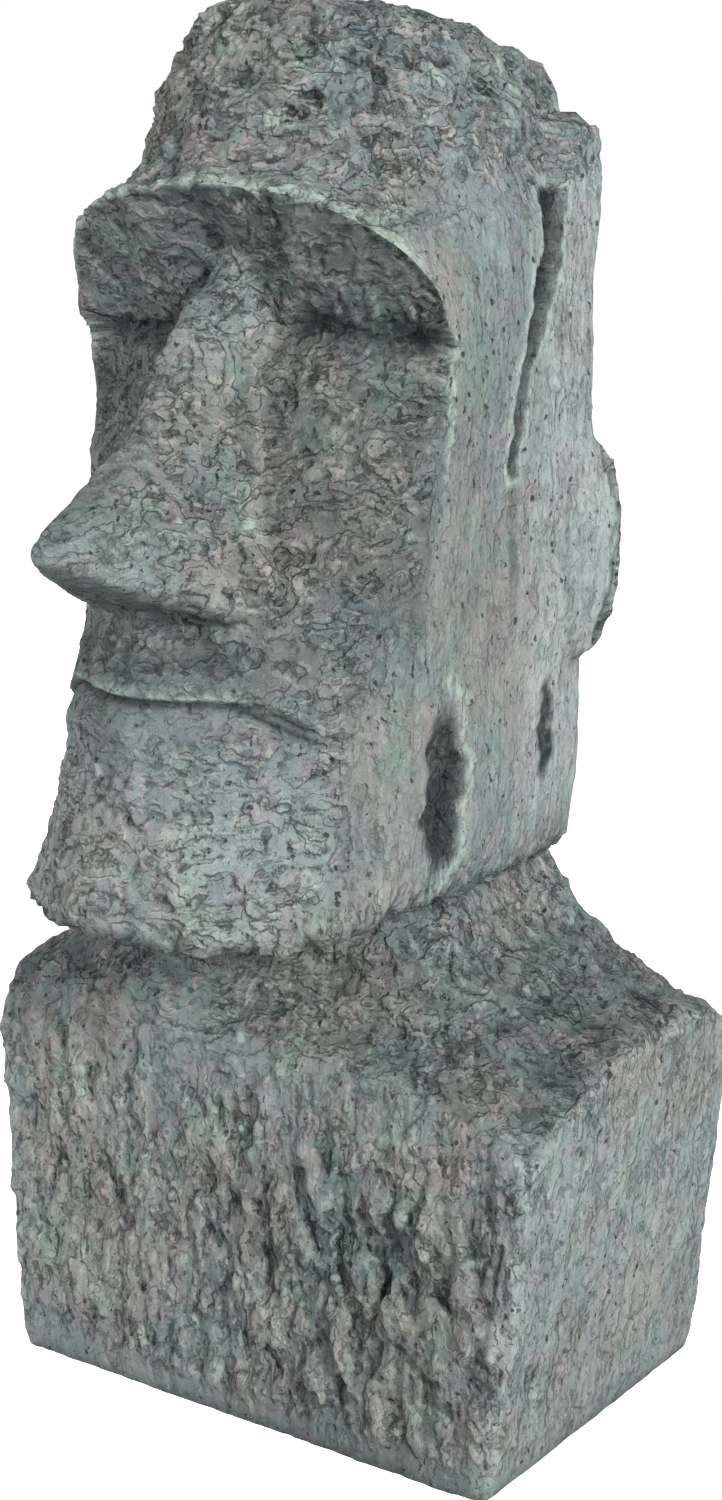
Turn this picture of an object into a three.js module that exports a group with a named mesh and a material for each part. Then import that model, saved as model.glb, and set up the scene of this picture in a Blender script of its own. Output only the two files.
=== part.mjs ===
// Moai stone-head statue: one closed casting, head and block base in one.
// Millimetres, +Z up, the face looks along -Y, the underside lies on z = 0.
//
// The form is written as a signed field (negative inside) made of a few
// height curves, and its skin is found by casting rays outward from the
// statue's own axis, one ray per grid point.
import * as THREE from 'three';

// ---- driving dimensions --------------------------------------------------
const BLOCK = { height: 171, halfWide: 133, halfDeep: 96, flareWide: 18.5, flareDeep: 7.5, round: 8 };
const HEAD = { crown: 623.5, backAt: 51, jawUnder: 248 };
const LIP = { side: 488, rise: 61.5, halfWide: 97 };        // the brow's arched edge
const EYE = { line: 491, groove: 4 };
const MOUTH = { height: 347, droop: 18, groove: 4 };
const NOSE = { foot: 373, slope: 0.36, ridgeHalf: 6, top: 530 };
const NECK = { halfWide: 66, halfDeep: 34, centre: 2 };
const EAR = { face: 95.5, top: 577, bottom: 345, lobeY: 39, lobeZ: 393, lobeDeep: 25, lobeTall: 49 };
const CRACK = { bottom: 430, top: 548, half: 1.5 };

// ---- small tools ---------------------------------------------------------
const clamp = (v, a = 0, b = 1) => Math.min(b, Math.max(a, v));
const mix = (a, b, t) => a + (b - a) * t;
const step = (a, b, v) => { const t = clamp((v - a) / (b - a)); return t * t * (3 - 2 * t); };
const bell = (t) => Math.exp(-t * t);
// Quarter of a rounded curve: 1 in the middle, 0 at t = 1; n = 2 is a circle.
const arc = (t, n) => Math.pow(1 - Math.pow(clamp(Math.abs(t)), n), 1 / n);
// Greater (or lesser) of two fields with a fillet of about k.
const smax = (a, b, k) => { const h = clamp(0.5 + 0.5 * (a - b) / k); return mix(b, a, h) + k * h * (1 - h); };
const smin = (a, b, k) => -smax(-a, -b, k);

// Smooth monotone curve through [station, value] pairs.
function curve(...pairs) {
  const s = pairs.filter((_, i) => i % 2 === 0), q = pairs.filter((_, i) => i % 2 === 1);
  const d = s.slice(1).map((v, i) => (q[i + 1] - q[i]) / (v - s[i]));
  const m = s.map((_, i) => (i === 0 || i === s.length - 1 || d[i - 1] * d[i] <= 0) ? 0
    : 2 * d[i - 1] * d[i] / (d[i - 1] + d[i]));
  return (v) => {
    v = clamp(v, s[0], s[s.length - 1]);
    let i = 0;
    while (i < s.length - 2 && v >= s[i + 1]) i++;
    const w = s[i + 1] - s[i], t = (v - s[i]) / w;
    return ((2 * t - 3) * t * t + 1) * q[i] + ((t - 2) * t + 1) * t * w * m[i]
      + (3 - 2 * t) * t * t * q[i + 1] + (t - 1) * t * t * w * m[i + 1];
  };
}

// ---- curves of the form, as functions of height --------------------------
const crownHalf = curve(485, 97.5, 530, 94.5, 547, 88, 560, 82, 575, 77, 590, 72, 604, 66, 622, 57);
const crownReach = curve(548, 86, 560, 84.5, 571, 82, 582, 78, 593, 73.5, 604, 69, 622, 61);
const headHalf = curve(240, 80, 255, 88, 275, 92, 310, 94, 400, 94, 440, 95, 485, 97.5);
const headBack = curve(240, 42, 262, 47, 300, HEAD.backAt, 620, HEAD.backAt);
const ridge = curve(376, 200, 388, 208, 398, 213, 407, 214, 416, 208, 430, 187, 442, 168, 454, 153, 470, 140,
  500, 121, 512, 105, 524, 92, 540, 84);
const wingHalf = curve(372, 47, 382, 49, 392, 47, 405, 41, 420, 35, 450, 24, 480, 15, 520, 9);
const wingDeep = curve(372, 70, 400, 74, 420, 66, 450, 45, 480, 32, 520, 20);
const earLine = curve(330, -22, 400, -22, 437, -24, 475, -18, 518, 1, 535, 4, 547, 10, 560, 18, 573, 22);
const earBack = curve(330, 42, 400, 46, 440, 39, 500, 37, 545, 43, 577, 46);
const edgeLeft = curve(-90, 164, -64, 171, -40, 178, 0, 188, 40, 189, 66, 185, 90, 176);
const edgeRight = curve(-90, 166, -80, 180, -64, 189, -40, 191, 0, 191, 40, 190, 66, 185, 90, 176);

const lipHeight = (ax) => LIP.side + LIP.rise * arc(ax / LIP.halfWide, 2.4);
const eyeHeight = (ax) => EYE.line - 0.0008 * ax * ax;
const mouthHeight = (ax) => MOUTH.height - MOUTH.droop * step(40, 80, ax);

// How far the face stands forward of the axis at width x and height z.
function faceReach(x, z) {
  const ax = Math.abs(x - 3 * step(420, 340, z) - 2.5 * bell((z - 368) / 42));
  const lip = 48 + 74 * arc(ax / 102, 2.3), eye = 64 + 18 * arc(ax / 92, 1.6);
  const mouth = 71 + 97 * arc(ax / 97, 1.5), chin = 74 + 110 * arc(ax / 97, 2.1);
  const zl = lipHeight(ax), ze = eyeHeight(ax), zm = mouthHeight(ax);
  let f;
  if (z > zl) {
    const rim = 20 + crownReach(z) * arc(ax / crownHalf(z), 1.9), t = clamp((z - zl) / 60);
    f = rim + (lip - rim) * Math.exp(-7 * t) * (1 - t);
  } else if (z > ze) f = eye + (lip - eye) * Math.pow((z - ze) / (zl - ze), 1.25) - 3 * bell(x / 9) * bell((z - 528) / 12);
  else if (z > zm) f = eye + (mouth - eye) * Math.pow((ze - z) / (ze - zm), 0.95);
  else f = mouth + (chin - mouth) * Math.pow(clamp((zm - z) / (zm - 252)), 1.7);
  const g = z - zm;
  f -= EYE.groove * bell((z - ze - 3) / 6) * step(20, 36, ax) * step(97, 84, ax);   // crease under the brow
  f -= MOUTH.groove * bell((g + 0.6) / 2.3) * step(86, 66, ax);                     // parting of the lips
  f += 2.6 * step(-1.2, 1.4, g) * bell(g / 15) * step(84, 62, ax) + 2 * bell((g + 13) / 10) * step(80, 50, ax);
  f += (5 + 5 * bell((z - 482) / 22)) * bell((ax - 94) / 7) * step(300, 360, z) * step(512, 490, z); // border ridge
  return f;
}

// Wedge nose: narrow ridge, wings that open backward, foot sloping up to the tip.
function nose(x, y, z) {
  const ax = Math.abs(x), d = -y, r = ridge(z);
  const open = Math.pow(clamp(Math.max(r - d, 0) / wingDeep(z), 0, 1.05), 0.9);
  const side = (ax - NOSE.ridgeHalf - (wingHalf(z) - NOSE.ridgeHalf) * open) * 0.8;
  const foot = NOSE.foot + clamp(d - 130, 0, 90) * NOSE.slope - z;
  return smax(smax(smax(smax(side, d - r, 5), foot, 9), z - NOSE.top, 5), y + 40, 5);
}

function head(x, y, z) {
  const ax = Math.abs(x);
  const side = ax - (z > 485 ? crownHalf(z) : headHalf(z)) + 0.0022 * clamp(y, 0, 80) ** 2 * step(600, 560, z);
  const top = z - (HEAD.crown - (y > -40 ? 0.002 : 0.0023) * (y + 40) ** 2 - 0.0022 * ax * ax);
  let h = smax(smax(-y - faceReach(x, z), side, 6), y - headBack(z), 12);
  h = smax(smax(h, top, 11), HEAD.jawUnder + 0.03 * (y + 150) - z, 10);
  h = smin(h, nose(x, y, z), 5);
  // long ear: a raised strip down the side, and a round lobe behind its foot
  const out = EAR.face + 0.05 * clamp(y + 20, 0, 60) + 0.11 * clamp(y - 16, 0, 60) * bell((z - EAR.lobeZ) / 45)
    - 2.5 * step(372, 350, z) - 5 * step(535, 577, z);
  let strip = smax(smax(smax(ax - out, earLine(z) - y, 4), y - earBack(z), 6), Math.max(z - EAR.top, EAR.bottom - z), 10);
  strip = Math.max(strip, 60 - ax);
  const round = Math.hypot((y - EAR.lobeY) / EAR.lobeDeep, (z - EAR.lobeZ) / EAR.lobeTall) * 30 - 30;
  return smin(smin(h, strip, 5), smax(round, Math.max(ax - out, 70 - ax), 5), 3);
}

// Carving below the skin: the long crack, the lobe's groove and a pit.
function carve(h, x, y, z) {
  const wide = bell((z - 507) / 26);
  if (x > 0) {
    const crack = smax(Math.abs(y - earLine(z) + 1.5) - (CRACK.half + 2.5 * wide), 90 - 5 * wide - x, 1.5);
    h = smax(h, -smax(crack, Math.max(z - CRACK.top, CRACK.bottom - z), 3), 1.5);
    h = smax(h, 5 - 5 * Math.hypot((y - 7) / 5, (z - 316) / 16, (x - 97) / 6), 2);
    h = smax(h, 10 - 10 * Math.hypot((x - 96) / 13, (y + 76) / 11, (z - 302) / 28), 4);   // jaw's corner
  }
  const ring = Math.abs(Math.hypot((y - 36) / 20, (z - 394) / 42) - 1) * 20 - 2.4;
  return smax(h, -smax(smax(ring, 94 - Math.abs(x), 1), 42 - y, 3), 1.5);
}

// Height of the shoulders, rising to the neck.
function shoulder(x, y) {
  const edge = mix(edgeRight(y), edgeLeft(y), step(-120, 60, x));
  const r = Math.hypot(Math.max(Math.abs(x) - NECK.halfWide, 0), Math.max(Math.abs(y - NECK.centre) - NECK.halfDeep, 0));
  return edge - 6 + 70 * Math.exp(-r / 26) + 26 * clamp(1 - r / 95);
}
function block(x, y, z) {
  const t = clamp(z / BLOCK.height, 0, 1.1);
  const walls = smax(Math.abs(x) - BLOCK.halfWide - BLOCK.flareWide * t, Math.abs(y) - BLOCK.halfDeep + BLOCK.flareDeep * t, BLOCK.round);
  return smax(smax(walls, (z - shoulder(x, y)) * 0.8, 6), -z, 3);
}
const statue = (x, y, z) => smin(carve(head(x, y, z), x, y, z), block(x, y, z), 5);

// ---- the skin ------------------------------------------------------------
// First way out of the solid along a ray from an inside point o toward t.
function exit(o, t) {
  const d = [t[0] - o[0], t[1] - o[1], t[2] - o[2]], len = Math.hypot(...d).valueOf();
  const at = (s) => [o[0] + d[0] / len * s, o[1] + d[1] / len * s, o[2] + d[2] / len * s];
  let lo = 0, hi = 3;
  while (hi < 400 && statue(...at(hi)) < 0) { lo = hi; hi += 3; }
  for (let i = 0; i < 16; i++) { const m = (lo + hi) / 2; if (statue(...at(m)) < 0) lo = m; else hi = m; }
  return at(hi);
}

// Column angles: spacing in degrees by angle, fine on the face, at the face's
// border and along the crack, wide at the back. 0 looks along -Y, + is +X.
const spacing = curve(-180, 12, -134, 9, -126, 5, -117, 4.5, -108, 7, -70, 6, -62, 3, -54, 4.2, -20, 3, 0, 2, 20, 2.9,
  48, 3.9, 56, 2.5, 67, 2.5, 76, 4.4, 90, 4, 97, 1.9, 104, 1.9, 111, 3.4, 120, 2, 129, 1.8, 136, 5, 150, 10, 180, 12);
function columnAngles() {
  const fine = 720, sum = [0];
  for (let i = 0; i < fine; i++) sum.push(sum[i] + (360 / fine) / spacing(-180 + 360 * (i + 0.5) / fine));
  const n = Math.round(sum[fine]), out = [];
  for (let k = 0, i = 0; k < n; k++) {
    const want = sum[fine] * k / n;
    while (sum[i + 1] < want) i++;
    out.push(-180 + 360 * (i + (want - sum[i]) / (sum[i + 1] - sum[i])) / fine);
  }
  return out;
}

// Rays leave the axis at plan angle a (degrees); the axis leans with height.
const axisY = curve(0, 0, 240, 0, 300, -30, 560, -32, 620, -38);
const aimAt = (a, r, z, y0) => [r * Math.sin(a * Math.PI / 180), y0 - r * Math.cos(a * Math.PI / 180), z];
const level = (a, z) => exit([0, axisY(z), z], aimAt(a, 300, z, axisY(z)));

// On each side of the head the columns near 101 degrees follow the front of
// the ear, where the crack runs, and those near 127 degrees its rear outline;
// down the block the columns near 61 and 120 degrees follow its upright edges.
function follow(a, z) {
  const seen = (x, y) => Math.atan2(x, axisY(z) - y) * 180 / Math.PI, b = Math.abs(a);
  const lobe = 1 - ((z - EAR.lobeZ) / EAR.lobeTall) ** 2, t = clamp(z / BLOCK.height, 0, 1.1);
  const rear = Math.max(earBack(z), lobe > 0 ? EAR.lobeY + EAR.lobeDeep * Math.sqrt(lobe) : 0);
  const edge = seen(BLOCK.halfWide + BLOCK.flareWide * t, BLOCK.flareDeep * t - BLOCK.halfDeep);
  const onHead = step(300, 340, z) * step(612, 580, z), onBlock = step(235, 190, z);
  const warp = (at, shift) => {
    let i = 0;
    while (i < at.length - 2 && b > at[i + 1]) i++;
    return mix(shift[i], shift[i + 1], clamp((b - at[i]) / (at[i + 1] - at[i])));
  };
  const turn = onHead * warp([68, 101, 127, 152], [0, seen(95, earLine(z) - 1.5) - 101, seen(100, rear) - 127, 0])
    + onBlock * warp([25, 61.5, 91, 120, 155], [0, edge - 61.5, 0, 60 - edge, 0]);
  return a + Math.sign(a) * turn;
}

// Rows of the head follow the brow, eye line and mouth across the face and
// even out round the sides and back.
function headHeights(a) {
  const free = step(64, 84, Math.abs(a));
  const settle = (f, plain, lo, hi) => {
    if (free < 1) for (let i = 0; i < 9; i++) {
      const z = (lo + hi) / 2;
      if (z < f(Math.abs(level(a, z)[0]))) lo = z; else hi = z;
    }
    return mix(hi, plain, free);
  };
  const top = settle((w) => 610 - 0.0035 * w * w, 583, 570, 612);
  const lip = settle(lipHeight, 530, 486, 551), eye = settle((w) => Math.min(eyeHeight(w), lipHeight(w) - 4), 478, 476, 493);
  const mouth = settle(mouthHeight, 348, 325, 350);
  const fall = (from, to, ...ts) => ts.map((t) => mix(from, to, t));
  const near = (z, up, n = 1) => z + up * mix(1, n, free);
  return [
    ...fall(top, lip, 0, 0.24, 0.46, 0.66, 0.82),
    near(lip, 4, 1.6), near(lip, 0.4), ...fall(lip, eye, 0.07, 0.3, 0.58, 0.84), near(eye, 0),
    ...fall(eye, mouth, 0.1, 0.21, 0.33, 0.43, 0.505, 0.555, 0.6, 0.65, 0.71, 0.78, 0.86),
    near(mouth, 9), near(mouth, 4), near(mouth, 0), near(mouth, -4),
    ...fall(mouth, 264, 0.16, 0.36, 0.57, 0.79, 1),
  ];
}

function column(a) {
  const rows = [], put = (p) => rows.push(p);
  const zs = headHeights(a), rim = level(a, zs[0]);
  const cap = HEAD.crown, hub = [0, -38, 560];
  for (const [r, up] of [[0.36, 1], [0.66, 1], [0.86, 0.9], [0.97, 0.6], [1, 0.28]]) {
    put(exit(hub, [rim[0] * r, mix(hub[1], rim[1], r), mix(zs[0], cap, up)]));
  }
  for (const z of zs) put(level(follow(a, z), z));
  // under the jaw, from its edge back to the neck
  const edge = rows[rows.length - 1], neck = level(a, 244);
  const over = clamp((Math.hypot(edge[0], edge[1]) - Math.hypot(neck[0], neck[1]) - 6) / 12);
  const from = [edge[0], edge[1], 258 - 4 * (1 - over)], to = [neck[0] * 1.05, neck[1] * 1.05, 248];
  for (const t of [0, 0.1, 0.36, 0.68, 1]) {
    const aim = [mix(from[0], to[0], t), mix(from[1], to[1], t), mix(mix(from[2], 249, over * clamp(t * 9)), to[2], t)];
    put(exit([0, -12, 330], aim));
  }
  // neck, shoulders and the block's rounded edge
  const root = level(a, 238), wall = level(follow(a, 140), 140), out = [wall[0], wall[1], 0];
  out[2] = shoulder(out[0] * 0.97, out[1] * 0.97);
  for (const t of [0, 0.13, 0.3, 0.5, 0.7, 0.87, 0.97]) {
    put(exit([0, 0, mix(236, 100, Math.sqrt(t))], [mix(root[0], out[0], t), mix(root[1], out[1], t), mix(238, out[2], t)]));
  }
  put(exit([0, 0, 112], [out[0], out[1], out[2] - 5]));
  put(exit([0, 0, 128], [out[0], out[1], out[2] - 14]));
  for (const z of [118, 55, 8]) put(level(follow(a, z), z));
  const foot = rows[rows.length - 1];
  put([foot[0] * 0.985, foot[1] * 0.985, 0]);
  return rows;
}

function skin() {
  const cols = columnAngles().map(column), n = cols.length, m = cols[0].length;
  const pos = [];
  for (const c of cols) for (const p of c) pos.push(...p);
  const top = n * m, bottom = top + 1;
  pos.push(...exit([0, -38, 560], [0, -38, 640]), 0, 0, 0);
  const index = [], at = (i, j) => (i % n) * m + j;
  for (let i = 0; i < n; i++) {
    index.push(top, at(i, 0), at(i + 1, 0));
    for (let j = 0; j < m - 1; j++) {
      const a = at(i, j), b = at(i + 1, j), c = at(i + 1, j + 1), d = at(i, j + 1);
      // split each facet along its shorter diagonal
      const span = (u, v) => Math.hypot(pos[3 * u] - pos[3 * v], pos[3 * u + 1] - pos[3 * v + 1], pos[3 * u + 2] - pos[3 * v + 2]);
      if (span(a, c) < span(b, d)) index.push(a, d, c, a, c, b); else index.push(a, d, b, b, d, c);
    }
    index.push(bottom, at(i + 1, m - 1), at(i, m - 1));
  }
  const g = new THREE.BufferGeometry();
  g.setAttribute('position', new THREE.Float32BufferAttribute(pos, 3));
  g.setIndex(index);
  g.computeVertexNormals();
  return g;
}

const part = new THREE.Group();
part.name = 'moai_statue_part';
const statueMesh = new THREE.Mesh(skin(), new THREE.MeshStandardMaterial({ color: 0x6f7672, roughness: 0.9, metalness: 0 }));
statueMesh.name = 'moai_statue';
part.add(statueMesh);
export default part;
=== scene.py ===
"""Moai stone-head statue: its carved skin, its stone finish and a plain studio.

The form is worked out in millimetres (+Z up, the face looks along -Y, the
underside lies on z = 0) and goes into the mesh in metres.
"""
import logging
import math
from dataclasses import dataclass, field
from enum import Enum
from functools import reduce
from typing import Callable

import bpy
import numpy as np
from mathutils import Matrix, Vector


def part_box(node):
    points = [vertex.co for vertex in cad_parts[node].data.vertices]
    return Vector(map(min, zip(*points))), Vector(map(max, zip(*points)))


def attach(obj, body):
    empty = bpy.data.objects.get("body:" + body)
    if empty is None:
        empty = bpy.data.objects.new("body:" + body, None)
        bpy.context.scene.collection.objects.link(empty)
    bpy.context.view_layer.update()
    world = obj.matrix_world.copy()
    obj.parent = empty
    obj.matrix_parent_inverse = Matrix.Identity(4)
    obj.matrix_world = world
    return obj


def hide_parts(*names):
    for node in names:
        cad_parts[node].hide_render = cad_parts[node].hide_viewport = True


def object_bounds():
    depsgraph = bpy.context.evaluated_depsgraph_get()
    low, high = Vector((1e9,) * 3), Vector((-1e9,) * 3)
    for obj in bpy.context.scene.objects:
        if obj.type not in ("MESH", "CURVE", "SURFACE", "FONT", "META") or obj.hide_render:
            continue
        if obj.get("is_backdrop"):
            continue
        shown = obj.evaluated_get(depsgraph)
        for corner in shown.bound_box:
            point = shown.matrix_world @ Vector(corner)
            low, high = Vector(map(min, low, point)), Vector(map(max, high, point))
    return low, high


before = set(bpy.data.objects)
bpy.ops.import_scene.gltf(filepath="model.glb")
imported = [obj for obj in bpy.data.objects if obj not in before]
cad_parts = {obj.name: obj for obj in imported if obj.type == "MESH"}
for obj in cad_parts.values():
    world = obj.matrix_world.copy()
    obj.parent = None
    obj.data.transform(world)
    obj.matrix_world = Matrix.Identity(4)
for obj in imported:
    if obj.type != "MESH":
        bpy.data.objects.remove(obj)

LOG = logging.getLogger("moai_statue")
NODE = "moai_statue"
DRAWN_HEIGHT = 623.5          # the height, in mm, that the sizes below are drawn at
POLE_Y = -38.0                # where the skin's columns meet on the crown
MASKS = ("relief", "torn", "turned", "upright", "wash_and_shade", "dark", "pale", "line", "smooth")
MIDDLE = (0.5, 0.5, 0.5)      # middle of a pattern's random colour
Array = np.ndarray
Triple = tuple[float, float, float]
Colour = tuple[float, float, float]
Node = bpy.types.Node
Socket = bpy.types.NodeSocket


# ---- small tools -----------------------------------------------------------
def clamp(v: Array, low: float = 0.0, high: float = 1.0) -> Array:
    """Keep values between low and high."""
    return np.clip(v, low, high)


def mix(a: Array, b: Array, t: Array) -> Array:
    """Straight blend: a + (b - a) t."""
    return a + (b - a) * t


def ease(low: float, high: float, v: Array) -> Array:
    """Smooth step: 3t^2 - 2t^3, where t runs from 0 at low to 1 at high."""
    t = clamp((v - low) / (high - low))
    return t * t * (3.0 - 2.0 * t)


def bell(t: Array) -> Array:
    """Bell curve: e to the minus t squared."""
    return np.exp(-t * t)


def arc(t: Array, power: float) -> Array:
    """Quarter of a rounded curve: (1 - |t|^n)^(1/n), a circle where n is 2."""
    return (1.0 - clamp(np.abs(t)) ** power) ** (1.0 / power)


def smax(a: Array, b: Array, k: float) -> Array:
    """Greater of two fields, with a fillet of about k millimetres."""
    h = clamp(0.5 + 0.5 * (a - b) / k)
    return mix(b, a, h) + k * h * (1.0 - h)


def smin(a: Array, b: Array, k: float) -> Array:
    """Lesser of two fields, with a fillet of about k millimetres."""
    return -smax(-a, -b, k)


def ledge(v: Array, start: float = 0.7) -> Array:
    """Steps of one each: the whole part, climbing over the last share from start."""
    whole = np.floor(v)
    return whole + ease(start, 1.0, v - whole)


def waves(z: Array, *terms: Triple) -> Array:
    """Sum of sines along z; each term is a height, a length and a phase."""
    return sum(height * np.sin(z / length + phase) for height, length, phase in terms)


def facing(n: Array) -> Array:
    """How far a surface looks forward, from 0 to 1."""
    return ease(-0.05, -0.35, n[..., 1])


class Curve:
    """A smooth monotone curve through stations, kept as a fine table."""

    def __init__(self, *pairs: float) -> None:
        """Join the stations with cubic pieces that never overshoot.

        Args:
            pairs: station, value, station, value and so on, in rising order.
        """
        s, q = np.array(pairs[0::2], float), np.array(pairs[1::2], float)
        w = np.diff(s)
        d = np.diff(q) / w
        m = np.zeros(len(s))
        same = d[:-1] * d[1:] > 0
        m[1:-1][same] = (2.0 * d[:-1] * d[1:])[same] / (d[:-1] + d[1:])[same]
        self.at = np.linspace(s[0], s[-1], max(16, int((s[-1] - s[0]) * 4)))
        i = np.clip(np.searchsorted(s, self.at, side="right") - 1, 0, len(w) - 1)
        t = (self.at - s[i]) / w[i]
        self.value = (((2 * t - 3) * t * t + 1) * q[i] + ((t - 2) * t + 1) * t * w[i] * m[i]
                      + (3 - 2 * t) * t * t * q[i + 1] + (t - 1) * t * t * w[i] * m[i + 1])

    def __call__(self, v: Array) -> Array:
        """Value of the curve at v, held at its ends."""
        return np.interp(v, self.at, self.value)


def curve(*pairs: float) -> Curve:
    """A field that starts as a curve through the given stations."""
    return field(default_factory=lambda: Curve(*pairs))


@dataclass(frozen=True)
class Bow:
    """A rounded rise over a width: side + rise * arc(|x| / half, power)."""

    side: float
    rise: float
    half: float
    power: float

    def __call__(self, ax: Array) -> Array:
        """Value at a distance from the middle plane."""
        return self.side + self.rise * arc(ax / self.half, self.power)


@dataclass(frozen=True)
class Hollow:
    """An oval hollow whose middle sways along Y with height."""

    centre: Triple
    radii: Triple
    sway: tuple[Triple, ...]

    def reach(self, x: Array, y: Array, z: Array) -> Array:
        """Share of the way out of the hollow: 0 at its middle, 1 at its rim."""
        place = (x, y + waves(z, *self.sway), z)
        return np.sqrt(sum(((v - c) / r) ** 2 for v, c, r in zip(place, self.centre, self.radii)))


# ---- the form --------------------------------------------------------------
@dataclass(frozen=True)
class BlockSize:
    """The square base block."""

    height: float = 171.0
    half_wide: float = 133.0
    half_deep: float = 96.0
    flare_wide: float = 18.5
    flare_deep: float = 7.5
    rounding: float = 8.0


@dataclass(frozen=True)
class HeadSize:
    """The head's ends, the brow's arched lip, the eye line and the mouth."""

    crown: float = 623.5
    jaw_under: float = 248.0
    lip: Bow = Bow(488.0, 61.5, 97.0, 2.4)
    eye_line: float = 491.0
    mouth: float = 347.0
    mouth_droop: float = 18.0
    mouth_groove: float = 4.0
    eye_groove: float = 4.0


@dataclass(frozen=True)
class NoseSize:
    """The wedge nose: its sloping foot, narrow ridge and where it ends."""

    foot: float = 373.0
    slope: float = 0.36
    ridge_half: float = 6.0
    top: float = 530.0


@dataclass(frozen=True)
class EarSize:
    """The long ear strip and the lobe behind its foot."""

    face: float = 95.5
    top: float = 577.0
    bottom: float = 345.0
    lobe_y: float = 39.0
    lobe_z: float = 393.0
    lobe_deep: float = 25.0
    lobe_tall: float = 49.0


@dataclass(frozen=True)
class CrackSize:
    """The long crack down the front of one ear."""

    bottom: float = 430.0
    top: float = 548.0
    half: float = 1.7
    floor: float = 90.0           # distance of its floor from the middle plane
    ragged: tuple[Triple, ...] = ((0.9, 6.1, 0.0), (0.6, 2.9, 1.3), (0.4, 1.6, 0.4))
    swell: tuple[Triple, ...] = ((0.7, 4.3, 2.0), (0.5, 2.1, 0.0))


@dataclass(frozen=True)
class NeckSize:
    """The neck's root among the shoulders."""

    half_wide: float = 66.0
    half_deep: float = 34.0
    centre: float = 2.0


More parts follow.
